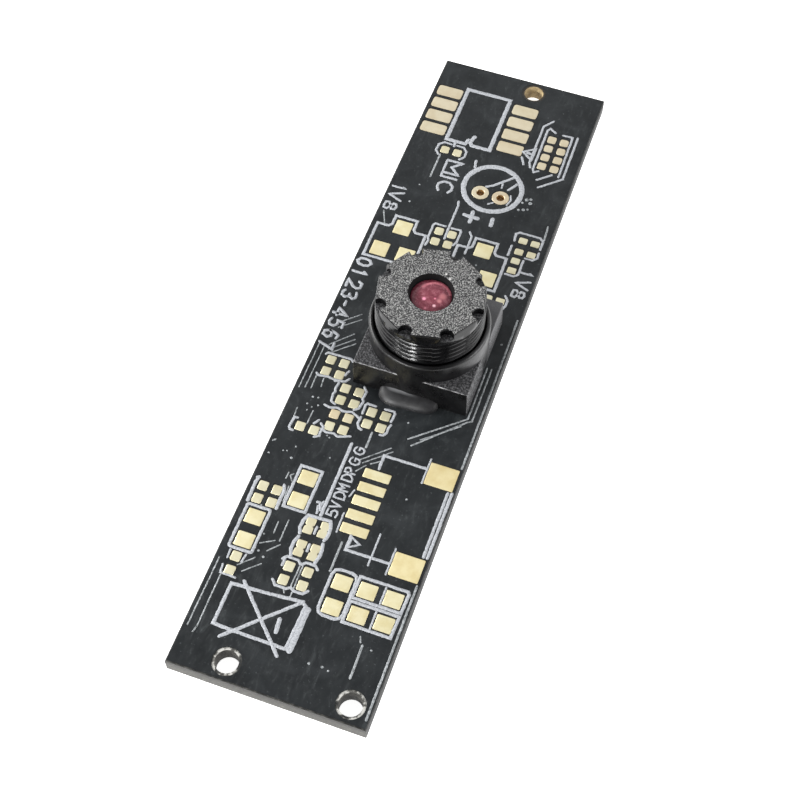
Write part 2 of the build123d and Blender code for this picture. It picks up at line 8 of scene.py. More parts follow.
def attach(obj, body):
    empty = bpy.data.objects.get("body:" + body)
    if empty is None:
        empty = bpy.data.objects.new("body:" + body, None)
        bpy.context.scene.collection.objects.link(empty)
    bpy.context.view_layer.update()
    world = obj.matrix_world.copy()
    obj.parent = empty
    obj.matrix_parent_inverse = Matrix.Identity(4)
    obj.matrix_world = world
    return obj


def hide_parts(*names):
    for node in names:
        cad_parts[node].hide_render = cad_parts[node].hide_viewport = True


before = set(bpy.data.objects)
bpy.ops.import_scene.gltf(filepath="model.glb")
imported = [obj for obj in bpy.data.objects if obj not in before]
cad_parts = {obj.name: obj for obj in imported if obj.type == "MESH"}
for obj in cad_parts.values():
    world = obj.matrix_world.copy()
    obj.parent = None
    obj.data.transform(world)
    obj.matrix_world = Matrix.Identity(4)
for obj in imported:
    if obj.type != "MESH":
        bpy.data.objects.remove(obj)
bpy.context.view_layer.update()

MM = 0.001


def tone(red, green, blue):
    """A colour from its 0 to 255 screen values."""
    parts = [c / 255 for c in (red, green, blue)]
    return tuple(c / 12.92 if c <= 0.04045 else ((c + 0.055) / 1.055) ** 2.4 for c in parts) + (1.0,)


class Finish:
    """One material, with short calls for the nodes that give it grain, variation and wear."""

    def __init__(self, name, colour, roughness, **sockets):
        self.material = bpy.data.materials.new(name)
        self.material.use_nodes = True
        self.nodes = self.material.node_tree.nodes
        self.shader = self.nodes["Principled BSDF"]
        self.set(self.shader, {"Base Color": colour, "Roughness": roughness})
        self.set(self.shader, {key.replace("_", " "): value for key, value in sockets.items()})
        self.place = self.nodes.new("ShaderNodeTexCoord").outputs["Object"]

    def link(self, output, target):
        self.material.node_tree.links.new(output, target)

    def set(self, node, values):
        for key, value in values.items():
            node.inputs[key].default_value = value

    def stretched(self, across, along, up):
        """The piece's own coordinates, stretched or squeezed along each axis."""
        node = self.nodes.new("ShaderNodeMapping")
        node.inputs["Scale"].default_value = (across, along, up)
        self.link(self.place, node.inputs["Vector"])
        return node.outputs["Vector"]

    def noise(self, size_mm, detail=3.0, roughness=0.55, distortion=0.0, place=None):
        node = self.nodes.new("ShaderNodeTexNoise")
        self.set(node, {"Scale": 1 / (size_mm * MM), "Detail": detail, "Roughness": roughness})
        node.inputs["Distortion"].default_value = distortion
        self.link(place or self.place, node.inputs["Vector"])
        return node.outputs["Fac"]

    def cells(self, size_mm, place=None):
        node = self.nodes.new("ShaderNodeTexVoronoi")
        node.inputs["Scale"].default_value = 1 / (size_mm * MM)
        self.link(place or self.place, node.inputs["Vector"])
        return node.outputs["Distance"]

    def ramp(self, factor, *stops):
        """A colour ramp; each stop is a place from 0 to 1 and a colour, or a grey from 0 to 1."""
        node = self.nodes.new("ShaderNodeValToRGB")
        band = node.color_ramp.elements
        while len(band) < len(stops):
            band.new(0.5)
        for element, (where, colour) in zip(band, stops):
            element.position = where
            element.color = colour if isinstance(colour, tuple) else (colour, colour, colour, 1.0)
        self.link(factor, node.inputs["Fac"])
        return node.outputs["Color"]

    def math(self, operation, first, second):
        node = self.nodes.new("ShaderNodeMath")
        node.operation = operation
        for socket, value in zip(node.inputs, (first, second)):
            if isinstance(value, (int, float)):
                socket.default_value = value
            else:
                self.link(value, socket)
        return node.outputs[0]

    def mix(self, factor, first, second, blend="MIX"):
        """Two colours laid over each other; each of the three may be a socket or a fixed value."""
        node = self.nodes.new("ShaderNodeMix")
        node.data_type = "RGBA"
        node.blend_type = blend
        for socket, value in ((node.inputs[0], factor), (node.inputs[6], first), (node.inputs[7], second)):
            if isinstance(value, (tuple, int, float)):
                socket.default_value = value
            else:
                self.link(value, socket)
        return node.outputs[2]

    def normal_part(self, axis):
        """How far the surface faces along one axis, from -1 to 1."""
        geometry = self.nodes.new("ShaderNodeNewGeometry")
        parts = self.nodes.new("ShaderNodeSeparateXYZ")
        self.link(geometry.outputs["Normal"], parts.inputs[0])
        return parts.outputs[axis]

    def place_part(self, axis):
        """Where the point lies along one of the piece's own axes, in metres."""
        parts = self.nodes.new("ShaderNodeSeparateXYZ")
        self.link(self.place, parts.inputs[0])
        return parts.outputs[axis]

    def spot(self, x, y, z, reach_mm, ring_mm=0.0):
        """1 at a place, or on a ring round it, fading to 0 at a distance from there."""
        away = self.nodes.new("ShaderNodeVectorMath")
        away.operation = "DISTANCE"
        self.link(self.place, away.inputs[0])
        away.inputs[1].default_value = (x * MM, y * MM, z * MM)
        off = self.math("ABSOLUTE", self.math("SUBTRACT", away.outputs["Value"], ring_mm * MM), 0.0)
        fade = self.nodes.new("ShaderNodeMapRange")
        fade.interpolation_type = "SMOOTHSTEP"
        self.link(off, fade.inputs["Value"])
        self.set(fade, {"From Min": 0.25 * reach_mm * MM, "From Max": reach_mm * MM})
        self.set(fade, {"To Min": 1.0, "To Max": 0.0})
        return fade.outputs["Result"]

    def each_one(self):
        """A number from 0 to 1 that differs from one separate shape of the mesh to the next."""
        return self.nodes.new("ShaderNodeNewGeometry").outputs["Random Per Island"]

    def colour(self, output):
        self.link(output, self.shader.inputs["Base Color"])

    def roughness(self, output):
        self.link(output, self.shader.inputs["Roughness"])

    def bump(self, height, depth_mm, strength=1.0, under=None):
        node = self.nodes.new("ShaderNodeBump")
        self.set(node, {"Strength": strength, "Distance": depth_mm * MM})
        self.link(height, node.inputs["Height"])
        if under is not None:
            self.link(under, node.inputs["Normal"])
        self.link(node.outputs["Normal"], self.shader.inputs["Normal"])
        return node.outputs["Normal"]


def dress(node, finish):
    """Gives a CAD piece its material."""
    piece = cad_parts[node]
    piece.data.materials.clear()
    piece.data.materials.append(finish.material)


BOARD_T = 1.2
SIDE_FACE, END_FACE = 6.08, 25.45
NEAR_HOLES_END = -23.3
laminate = Finish("laminate_edge", tone(104, 103, 97), 0.62)
fibre = laminate.noise(0.1, 4.0, 0.7, place=laminate.stretched(0.3, 0.3, 2.4))
bundles = laminate.noise(0.5, 2.0)
scuff = laminate.noise(0.55, 3.0, 0.6)
across_board, along_board, up_board = (laminate.place_part(axis) for axis in (0, 1, 2))
on_left = laminate.math("LESS_THAN", across_board, -SIDE_FACE * MM)
on_right = laminate.math("GREATER_THAN", across_board, SIDE_FACE * MM)
on_end = laminate.math("GREATER_THAN", laminate.math("ABSOLUTE", along_board, 0.0), END_FACE * MM)
on_left_or_end = laminate.math("MAXIMUM", on_left, on_end)
at_edge = laminate.math("MAXIMUM", on_left_or_end, on_right)
fibre_tone = laminate.ramp(
    fibre, (0.34, tone(40, 39, 37)), (0.5, tone(70, 69, 65)), (0.66, tone(124, 122, 116)),
)
# Painted shade: the cut edges are darker towards their top, and the right side face is painted a plain dark
# grey.
up_the_edge = laminate.math("MULTIPLY", up_board, 1 / (BOARD_T * MM))
shaded = laminate.ramp(up_the_edge, (0.05, 1.0), (0.55, 0.72), (0.85, 0.36))
fibre_tone = laminate.mix(1.0, fibre_tone, shaded, "MULTIPLY")
edge_tone = laminate.mix(on_left_or_end, tone(33, 33, 32), fibre_tone)
halo_tone = laminate.ramp(
    scuff, (0.4, tone(30, 31, 31)), (0.5, tone(78, 77, 73)), (0.58, tone(184, 183, 178)),
)
# In the mask's windows the laminate is painted dark brown, painted shade in the narrow gaps round the lands;
# by the near holes it keeps the pale and dark mottle.
by_near_holes = laminate.math("LESS_THAN", along_board, NEAR_HOLES_END * MM)
window_tone = laminate.mix(by_near_holes, tone(44, 40, 35), halo_tone)
# Hole walls: the far hole's wall is painted the tan of the laminate in full light, and the near holes' walls
# a dark painted shade.
lit_bore_tone = laminate.ramp(bundles, (0.35, tone(134, 116, 84)), (0.65, tone(176, 158, 120)))
shaded_bore_tone = laminate.ramp(bundles, (0.35, tone(34, 32, 29)), (0.65, tone(60, 57, 50)))
in_far_half = laminate.math("GREATER_THAN", along_board, 0.0)
bore_tone = laminate.mix(in_far_half, shaded_bore_tone, lit_bore_tone)
faces_up = laminate.math("GREATER_THAN", laminate.normal_part(2), 0.9)
hole_tone = laminate.mix(faces_up, bore_tone, window_tone)
laminate.colour(laminate.mix(at_edge, hole_tone, edge_tone))
laminate.roughness(laminate.ramp(fibre, (0.3, 0.45), (0.7, 0.8)))
laminate.bump(fibre, 0.02, 0.8)
dress("board_laminate", laminate)

# Solder mask: black lacquer screened over both copper layers, with a low gloss and a faint orange peel.
# Copper under it shows as slight relief, and handling has left dust and fine rubs.
mask = Finish("black_mask", tone(28, 31, 33), 0.36, Specular_IOR_Level=0.4)
cloud = mask.noise(2.2, 4.0, 0.6, 0.8)
speck = mask.noise(0.2, 3.0, 0.7)
smear = mask.noise(0.6, 4.0, 0.7, 1.5, mask.stretched(1.0, 0.3, 1.0))
mask_tone = mask.ramp(cloud, (0.3, tone(21, 24, 26)), (0.5, tone(29, 32, 34)), (0.7, tone(40, 43, 45)))
specked = mask.mix(mask.ramp(speck, (0.62, 0.0), (0.74, 0.5)), mask_tone, tone(92, 96, 98))
mask.colour(mask.mix(mask.ramp(smear, (0.56, 0.0), (0.74, 0.22)), specked, tone(80, 86, 87)))
mask.roughness(mask.ramp(smear, (0.4, 0.3), (0.7, 0.5)))
peel = mask.bump(mask.noise(0.45, 2.0), 0.006, 0.5)
mask.bump(mask.noise(1.6, 4.0, 0.65, 0.6, mask.stretched(1.0, 0.4, 1.0)), 0.012, 0.5, peel)
dress("solder_mask_front", mask)
dress("solder_mask_back", mask)

# Gold lands: nickel and immersion gold over etched copper, so corners are a little round and tops a
# little full. The gold is thin and uneven, paler on small lands, and a few are a shade off the others.
# The wide lands get a brighter gold, painted light, and the far end's lands a darker one, painted shade.
MASK_TOP = BOARD_T
LAND_FOOT = 1.165
LAND_FULL = 0.006
MASK_LEFT, FAR_END = -6.1, 25.6
land_rng = random.Random(41)


def plated(name, thin, thick):
    """Immersion gold between two tones, with a few lands a little off the others."""
    plate = Finish(name, thick, 0.38, Metallic=0.5)
    patch = plate.noise(0.7, 3.0)
    grain = plate.noise(0.05, 3.0, 0.7)
    odd_one = plate.ramp(
        plate.each_one(), (0.0, tone(250, 236, 230)), (0.06, tone(255, 255, 255)), (0.5, tone(252, 250, 248)),
        (0.94, tone(255, 255, 255)), (1.0, tone(240, 240, 232)),
    )
    plate.colour(plate.mix(1.0, plate.ramp(patch, (0.3, thin), (0.62, thick)), odd_one, "MULTIPLY"))
    plate.roughness(plate.ramp(grain, (0.3, 0.32), (0.7, 0.46)))
    plate.bump(grain, 0.004, 0.3)
    return plate


# Painted light and shade: brighter gold for the wide lands, darker gold for the far end's lands.
gold = plated("gold_plate", tone(231, 214, 158), tone(243, 230, 181))
wide_lit_gold = plated("wide_land_lit_gold_plate", tone(229, 217, 168), tone(240, 232, 192))
thin_gold = plated("thin_gold_plate", tone(218, 211, 176), tone(228, 223, 193))
far_shaded_gold = plated("far_end_shaded_gold_plate", tone(211, 198, 168), tone(221, 211, 184))


def board_place(from_left, from_far):
    """A place on the board in the part's frame, from the mask's left edge and the far end, in millimetres."""
    return MASK_LEFT + from_left, FAR_END - from_far


def new_piece(name, verts, faces, finishes, replaced=(), smooth_under=40, faces_of=None):
    """A mesh piece in metres from millimetre points, riding on the board."""
    mesh = bpy.data.meshes.new(name)
    mesh.from_pydata([(x * MM, y * MM, z * MM) for x, y, z in verts], [], faces)
    for finish in finishes:
        mesh.materials.append(finish.material)
    if faces_of is not None:
        mesh.polygons.foreach_set("material_index", faces_of)
    mesh.polygons.foreach_set("use_smooth", [True] * len(mesh.polygons))
    mesh.update()
    mesh.set_sharp_from_angle(angle=radians(smooth_under))
    piece = bpy.data.objects.new(name, mesh)
    bpy.context.scene.collection.objects.link(piece)
    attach(piece, "root")
    if replaced:
        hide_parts(*replaced)
    return piece


def land_outline(x, y, width, length, corner, waist):
    """One land's outline: a rectangle with small round corners, its sides pinched where it has a waist."""
    points = [
        (x + side * (width / 2 - corner) + corner * cos(radians(turn + step)),
         y + end * (length / 2 - corner) + corner * sin(radians(turn + step)))
        for side, end, turn in ((1, -1, -90), (1, 1, 0), (-1, 1, 90), (-1, -1, 180))
        for step in (0, 30, 60, 90)
    ]
    if waist:
        right, left = x + width / 2, x - width / 2
        pinch_right = [(right, y - waist), (right - waist, y), (right, y + waist)]
        pinch_left = [(left, y + waist), (left + waist, y), (left, y - waist)]
        points = points[:4] + pinch_right + points[4:12] + pinch_left + points[12:]
    return points


def lay_lands(name, finish, places, size, replaced, corner=0.06, waist=0.0):
    """Gold lands as one mesh: each has a wall, a round shoulder and a slightly full top."""
    verts, faces = [], []
    for x, y in places:
        x += land_rng.uniform(-0.008, 0.008)
        y += land_rng.uniform(-0.008, 0.008)
        full = LAND_FULL * land_rng.uniform(0.5, 1.3)
        outline = land_outline(x, y, *size, corner * land_rng.uniform(0.8, 1.2), waist)
        count = len(outline)
        rings = (
            (1.0, LAND_FOOT), (1.0, MASK_TOP - 0.012), (0.975, MASK_TOP - 0.003),
            (0.9, MASK_TOP + 0.3 * full), (0.6, MASK_TOP + 0.8 * full),
        )
        start = len(verts)
        for share, z in rings:
            verts += [(x + (px - x) * share, y + (py - y) * share, z) for px, py in outline]
        verts.append((x, y, MASK_TOP + full))
        for ring in range(len(rings) - 1):
            a, b = start + ring * count, start + (ring + 1) * count
            faces += [(a + i, a + (i + 1) % count, b + (i + 1) % count, b + i) for i in range(count)]
        top = start + (len(rings) - 1) * count
        faces += [(top + i, top + (i + 1) % count, len(verts) - 1) for i in range(count)]
    return new_piece(name, verts, faces, [finish], replaced, 50)


def block_of(centre, across, along, pitch_x, pitch_y):
    """The places of a block of lands round its centre."""
    x0 = centre[0] - (across - 1) * pitch_x / 2
    y0 = centre[1] - (along - 1) * pitch_y / 2
    return [(x0 + i * pitch_x, y0 + j * pitch_y) for j in range(along) for i in range(across)]


CHIP = 0.93
CHIP_LAND, POWER_LAND = (0.61, 0.65), (1.1, 1.0)
POWER = 1.63
LENS_X, LENS_Y = 1.15, -0.17
lens_blocks = [
    (LENS_X + dx, LENS_Y - dy)
    for dx, dy in ((-5.31, 3.23), (-3.63, 4.99), (-3.61, 7.05), (-1.42, 6.1))
]
lens_pair = (LENS_X - 5.35, LENS_Y - 8.15)
flash_at = board_place(4.12, 5.0)
network_at = board_place(10.15, 6.42)
regulators_at = [board_place(2.22, 17.65), board_place(8.1, 17.65)]
pair_at = board_place(3.12, 8.64)
block_at = board_place(5.14, 16.4)
right_at = board_place(10.86, 15.28)
left_chip_at = board_place(1.34, 39.16)
wide_chip_at = board_place(5.04, 43.7)
notched_at = board_place(5.06, 41.1)
plug_at = board_place(7.27, 37.67)
tabs_at = board_place(11.08, 37.67)

lay_lands(
    "flash_chip_lands", far_shaded_gold, block_of(flash_at, 2, 4, 5.86, 1.27), (1.88, 0.98),
    ["pads_flash_chip"], 0.17,
)
lay_lands(
    "resistor_network_lands", far_shaded_gold, block_of(network_at, 2, 4, 0.93, 0.89), (0.62, 0.65),
    ["pads_resistor_network"], 0.15,
)
for side, (rx, ry) in zip(("left", "right"), regulators_at):
    lay_lands(
        "regulator_lands_" + side, wide_lit_gold,
        [(rx, ry + 1.115), (rx - 0.92, ry - 1.115), (rx + 0.92, ry - 1.115)],
        (1.17, 1.2), ["pads_regulator_" + side],
    )
lay_lands(
    "chip_lands_far", thin_gold,
    block_of(pair_at, 2, 1, CHIP, CHIP) + block_of(block_at, 2, 2, CHIP, CHIP),
    CHIP_LAND, ["pads_chips_far"], 0.13,
)
lay_lands(
    "small_lands_far", thin_gold,
    block_of(right_at, 2, 2, 0.88, 1.01)
    + [(right_at[0] - 0.44, right_at[1] - drop) for drop in (1.34, 2.22)]
    + block_of((right_at[0] - 0.84, right_at[1] - 4.97), 2, 1, 0.88, 0.88),
    (0.6, 0.52), ["pads_small_far"], 0.09,
)
lay_lands(
    "chip_lands_middle", thin_gold,
    [place for at in lens_blocks for place in block_of(at, 2, 2, CHIP, CHIP)]
    + block_of(lens_pair, 2, 1, CHIP, CHIP),
    CHIP_LAND, ["pads_chips_middle"], 0.08,
)
lay_lands(
    "chip_lands_near", thin_gold,
    block_of(left_chip_at, 2, 2, CHIP, CHIP)
    + block_of(wide_chip_at, 2, 2, 1.2, CHIP)
    + block_of(board_place(1.2, 44.18), 1, 2, CHIP, 0.97),
    CHIP_LAND, ["pads_chips_near"], 0.08,
)
lay_lands(
    "notched_lands", thin_gold, block_of(notched_at, 2, 2, CHIP, 1.6), (0.6, 1.1),
    ["pads_notched"], 0.06, 0.11,
)
lay_lands(
    "power_lands", wide_lit_gold,
    block_of(board_place(3.3, 38.1), 1, 2, POWER, POWER)
    + block_of(board_place(1.24, 41.7), 1, 2, POWER, POWER)
    + block_of(board_place(7.8, 44.0), 1, 2, POWER, POWER)
    + block_of(board_place(10.22, 44.0), 2, 2, POWER, POWER),
    POWER_LAND, ["pads_power_chips"],
)
lay_lands(
    "plug_contact_lands", wide_lit_gold, block_of(plug_at, 1, 5, 1, 1.0), (1.73, 0.66),
    ["pads_plug_contacts"], 0.05,
)
lay_lands("plug_tab_lands", gold, block_of(tabs_at, 1, 2, 1, 6.55), (1.88, 1.6), ["pads_plug_tabs"])
for node in ("pads_sensor_rows", "pads_sensor_columns"):
    dress(node, gold)

# Plated holes for a microphone: a gold land at each face and a plated tube between them.
# The land's rim is round and a little raised, and the tube is darker where light hardly reaches.
bore = Finish("plated_bore", tone(176, 140, 88), 0.42, Metallic=0.5)
bore.colour(bore.ramp(bore.noise(0.12, 3.0), (0.3, tone(140, 106, 62)), (0.7, tone(196, 160, 104))))
bore.bump(bore.noise(0.06), 0.006)


def turned(profile, at, steps, start=0.0):
    """The points and faces of a profile of (radius, height), turned about an upright axis."""
    verts = [
        (at[0] + r * cos(start + tau * i / steps), at[1] + r * sin(start + tau * i / steps), z)
        for r, z in profile
        for i in range(steps)
    ]
    faces = [
        (a * steps + i, a * steps + (i + 1) % steps, (a + 1) * steps + (i + 1) % steps, (a + 1) * steps + i)
        for a in range(len(profile) - 1)
        for i in range(steps)
    ]
    return verts, faces


def add_form(verts, faces, form):
    """Adds the points and faces of another form to a piece's own."""
    form_verts, form_faces = form
    faces += [tuple(i + len(verts) for i in face) for face in form_faces]
    verts += form_verts


HOLE_R, TUBE_R, RIM_R = 0.28, 0.33, 0.61
HOLE_STEPS = 36
hole_profile = [
    (HOLE_R, 0.0), (0.30, 0.0), (0.60, 0.0), (RIM_R, 0.012), (RIM_R, 0.035), (TUBE_R, 0.035),
    (TUBE_R, LAND_FOOT), (RIM_R, LAND_FOOT), (RIM_R, 1.188), (0.595, 1.199), (0.56, 1.204), (0.36, 1.206),
    (0.305, 1.2), (0.285, 1.18), (HOLE_R, 1.1), (HOLE_R, 0.0),
]
tube_band = 13
lead_verts, lead_faces, lead_skins = [], [], []
mic_at = board_place(7.04, 11.02)
for side in (-1, 1):
    lead_hole = turned(hole_profile, (mic_at[0] + side * 0.745, mic_at[1] - 0.59), HOLE_STEPS)
    lead_skins += [1 if min(face) // HOLE_STEPS >= tube_band else 0 for face in lead_hole[1]]
    add_form(lead_verts, lead_faces, lead_hole)
new_piece(
    "microphone_holes", lead_verts, lead_faces, [far_shaded_gold, bore],
    ["microphone_plated_holes"], 40, lead_skins,
)

# White print: epoxy ink screened on the mask. Its lines wander a little, and their ends are round.
# The ink is thin, so the mesh of the screen breaks it up into paler and greyer grain.
INK = 0.018
WANDER = 0.012
ink_rng = random.Random(7)
ink = Finish("white_print", tone(158, 161, 168), 0.6)
mesh_marks = ink.noise(0.11, 3.0, 0.7)
ink_tone = ink.ramp(
    mesh_marks, (0.3, tone(118, 121, 125)), (0.48, tone(162, 165, 170)), (0.7, tone(189, 191, 195)),
)
ink.colour(ink_tone)
ink.bump(mesh_marks, 0.01, 0.7)


def spots_along(points, closed, step=0.16):
    """Even spots along a line of straight legs; a closed line ends one spot before its start."""
    spots = []
    for (x0, y0), (x1, y1) in zip(points, points[1:]):
        steps = max(1, round(hypot(x1 - x0, y1 - y0) / step))
        spots += [(x0 + (x1 - x0) * i / steps, y0 + (y1 - y0) * i / steps) for i in range(steps)]
    if not closed:
        spots.append(points[-1])
    return spots


def side_of_line(before, spot, after):
    """The direction square to a line at one spot, and how much wider a bend makes it there."""
    legs = [(spot[0] - before[0], spot[1] - before[1]), (after[0] - spot[0], after[1] - spot[1])]
    sides = [(-dy / hypot(dx, dy), dx / hypot(dx, dy)) for dx, dy in legs if hypot(dx, dy) > 1e-6]
    nx, ny = sum(side[0] for side in sides), sum(side[1] for side in sides)
    size = max(hypot(nx, ny), 1e-6)
    nx, ny = nx / size, ny / size
    return nx, ny, 1 / max(0.6, nx * sides[0][0] + ny * sides[0][1])


def round_end(section, spot, inner_spot, width):
    """Narrowing sections that round off a line's end, the outermost first."""
    x, y, nx, ny, half = section
    dx, dy = spot[0] - inner_spot[0], spot[1] - inner_spot[1]
    size = hypot(dx, dy)
    return [
        (
            x + dx / size * width / 2 * sin(turn), y + dy / size * width / 2 * sin(turn),
            nx, ny, half * cos(turn),
        )
        for turn in (1.35, 1.0, 0.55)
    ]


def lay_line(verts, faces, points, width, rise, wander):
    """One printed or raised line: a low strip with sloping sides, its width and course a little uneven."""
    level = MASK_TOP + rise * ink_rng.uniform(0.75, 1.0)
    foot = MASK_TOP - 0.002
    closed = points[0] == points[-1]
    spots = spots_along(points, closed)
    sections = []
    for i, spot in enumerate(spots):
        before = spots[i - 1 if closed else max(i - 1, 0)]
        after = spots[(i + 1) % len(spots) if closed else min(i + 1, len(spots) - 1)]
        nx, ny, stretch = side_of_line(before, spot, after)
        drift = ink_rng.uniform(-wander, wander)
        half = width / 2 * stretch * (1 + ink_rng.uniform(-8, 8) * wander)
        sections.append((spot[0] + nx * drift, spot[1] + ny * drift, nx, ny, half))
    if not closed:
        first_end = round_end(sections[0], spots[0], spots[1], width)
        last_end = round_end(sections[-1], spots[-1], spots[-2], width)
        sections = first_end + sections + last_end[::-1]
    start = len(verts)
    for x, y, nx, ny, half in sections:
        for reach, z in ((-1, foot), (-0.8, level), (0.8, level), (1, foot)):
            verts.append((x + nx * half * reach, y + ny * half * reach, z))
    for i in range(len(sections) if closed else len(sections) - 1):
        a = start + 4 * i
        b = start + 4 * ((i + 1) % len(sections))
        faces += [(a + k + 1, a + k, b + k, b + k + 1) for k in range(3)]
    if not closed:
        last = start + 4 * (len(sections) - 1)
        faces += [(start, start + 1, start + 2, start + 3), (last + 3, last + 2, last + 1, last)]


def print_lines(name, groups, replaced=(), finish=ink, rise=INK, wander=WANDER):
    """One piece from groups of (width, list of lines), their points from the board's left and far edges."""
    verts, faces = [], []
    for width, lines in groups:
        for line in lines:
            lay_line(verts, faces, [board_place(*point) for point in line], width, rise, wander)
    return new_piece(name, verts, faces, [finish], replaced, 60)


def ring_line(x, d, radius, start=0, end=360, steps=40):
    """Points on a circle, in degrees clockwise from the right."""
    return [
        (x + radius * cos(radians(start + (end - start) * i / steps)),
         d + radius * sin(radians(start + (end - start) * i / steps)))
        for i in range(steps + 1)
    ]


def box_line(left, right, far, near, cut=0.0):
    """A closed box, its corners cut, starting in the middle of one side."""
    middle = (left + right) / 2
    if not cut:
        return [(middle, far), (right, far), (right, near), (left, near), (left, far), (middle, far)]
    bend = cut / 3.4
    return [
        (middle, far), (right - cut, far), (right - bend, far + bend), (right, far + cut),
        (right, near - cut), (right - bend, near - bend), (right - cut, near), (left + cut, near),
        (left + bend, near - bend), (left, near - cut), (left, far + cut),
        (left + bend, far + bend), (left + cut, far), (middle, far),
    ]


print_lines("flash_outline_print", [
    (0.3, [
        [(3.98, 7.2), (3.86, 7.62), (2.42, 7.62), (2.42, 2.38), (5.7, 2.38), (5.7, 7.62), (4.34, 7.62),
         (4.16, 7.35), (4.3, 6.75)],
    ]),
    (0.2, [[(3.12, 7.6), (3.18, 8.1)]]),
], ["print_flash_outline"])
print_lines("network_outline_print", [
    (0.17, [
        [(9.3, 3.3), (8.76, 4.0), (8.76, 7.75), (8.95, 8.15)],
        [(9.75, 4.35), (9.3, 4.05), (9.14, 4.3), (9.18, 8.2), (9.32, 8.5), (9.6, 8.3)],
        [(10.35, 4.38), (11.05, 4.36), (11.12, 8.35)],
        [(11.42, 4.3), (11.46, 8.45), (10.0, 9.78)],
        [(10.6, 8.35), (9.72, 9.12)],
        [(8.05, 6.9), (8.85, 6.3), (8.82, 7.5), (8.05, 6.9)],
        [(8.1, 7.45), (8.42, 8.05)],
    ]),
    (0.24, [[(8.4, 6.9), (8.62, 6.9)]]),
], ["print_network_outline"])


def regulator_line(x, d):
    """The line round a regulator: a box with a narrower neck round the single land on its far side."""
    return [
        (x + 0.2, d - 2.02), (x + 0.79, d - 2.02), (x + 0.8, d - 1.18), (x + 0.98, d - 1.0),
        (x + 1.73, d - 1.0), (x + 1.75, d + 1.96), (x - 1.8, d + 1.96), (x - 1.8, d - 1.0),
        (x - 1.0, d - 1.0), (x - 0.8, d - 1.2),
        (x - 0.8, d - 2.02), (x + 0.2, d - 2.02),
    ]


print_lines("regulator_outline_print", [
    (0.2, [regulator_line(2.2, 17.65), regulator_line(8.08, 17.65)]),
    (0.16, [[(6.72, 15.3), (6.96, 15.65), (6.98, 17.2)]]),
], ["print_regulator_outlines"])
print_lines("chip_bracket_print", [
    (0.17, [
        [(2.95, 8.0), (2.4, 7.95), (2.07, 8.3), (2.05, 8.9), (2.32, 9.2)],
        [(3.4, 7.98), (3.88, 8.0), (4.2, 8.35), (4.2, 8.85), (3.92, 9.2)],
        [(4.95, 15.38), (4.22, 15.36), (4.12, 15.5), (4.12, 16.7), (4.22, 16.95), (4.16, 17.4)],
        [(5.42, 15.4), (6.05, 15.36), (6.13, 15.5), (6.12, 16.5), (5.98, 16.8)],
        [(1.0, 28.22), (1.1, 28.06), (2.7, 28.05), (2.88, 28.2)],
        [(0.96, 29.8), (1.1, 29.92), (1.75, 29.84), (2.3, 29.92), (2.85, 29.86)],
        [(2.78, 29.35), (2.9, 29.0)],
        [(2.3, 30.0), (2.62, 29.86), (2.95, 29.8), (3.14, 29.55)],
        [(2.6, 30.05), (2.54, 30.55), (2.63, 30.74), (2.54, 30.95), (2.62, 31.5), (2.92, 31.64)],
        [(4.28, 29.8), (4.54, 30.1), (4.46, 30.68), (4.58, 30.82), (4.5, 31.45), (4.22, 31.64)],
        [(2.38, 31.92), (2.7, 31.98), (3.25, 31.84), (3.62, 31.98), (4.2, 31.84), (4.7, 32.08)],
        [(2.78, 33.66), (3.15, 33.8), (3.64, 33.72), (3.95, 33.86), (4.7, 33.56)],
        [(5.45, 30.92), (4.9, 30.9), (4.8, 31.05), (4.84, 31.7)],
        [(4.84, 32.0), (4.8, 32.5), (4.98, 32.8), (5.18, 32.86)],
        [(6.1, 30.92), (6.72, 30.9), (6.82, 31.05), (6.76, 31.68)],
        [(6.84, 31.92), (6.76, 32.15), (6.78, 32.55), (6.62, 32.8), (6.42, 32.82)],
        [(1.06, 33.4), (0.86, 33.42), (0.8, 34.2), (0.9, 34.34), (1.1, 34.35)],
        [(2.62, 33.3), (2.86, 33.5), (2.8, 33.95), (2.84, 34.2), (2.55, 34.36)],
        [(2.2, 33.45), (2.4, 33.12)],
        [(0.3, 38.25), (0.42, 38.2)],
        [(5.06, 40.25), (5.06, 40.7)], [(5.06, 41.5), (5.07, 41.95)],
    ]),
    (0.22, [
        [(0.42, 38.22), (0.34, 38.6), (0.38, 39.95)],
        [(2.1, 38.25), (2.24, 38.6), (2.24, 39.9)],
        [(4.22, 40.95), (4.08, 40.6), (4.1, 40.1), (4.26, 39.66), (5.7, 39.6), (5.88, 40.1), (5.9, 40.6),
         (5.8, 40.95)],
        [(4.24, 41.2), (4.1, 41.6), (4.1, 42.1), (4.26, 42.5)],
        [(5.8, 41.2), (5.92, 41.6), (5.92, 42.1), (5.8, 42.5)],
    ]),
    (0.18, [
        [(3.88, 42.9), (4.1, 42.66), (4.8, 42.68), (5.0, 42.88), (5.12, 42.88), (5.3, 42.68), (5.9, 42.68),
         (6.12, 42.9)],
        [(3.84, 44.35), (4.08, 44.64), (4.8, 44.66), (5.04, 44.5), (5.3, 44.66), (5.85, 44.64), (6.1, 44.38)],
        [(4.02, 42.9), (4.0, 43.3)],
    ]),
], ["print_chip_boxes"])
print_lines("small_box_print", [
    (0.17, [
        [(9.84, 14.95), (9.78, 14.35), (10.0, 14.14), (11.5, 14.14), (11.74, 14.36), (11.76, 15.12)],
        [(9.8, 15.45), (9.8, 16.3)],
        [(11.76, 15.45), (11.78, 15.9), (11.5, 16.2), (11.0, 16.2)],
        [(10.94, 16.45), (10.95, 17.7), (10.7, 17.95), (10.1, 17.92)],
        [(10.68, 19.72), (10.92, 20.05), (10.92, 20.5), (10.82, 20.78)],
    ]),
], ["print_small_boxes"])
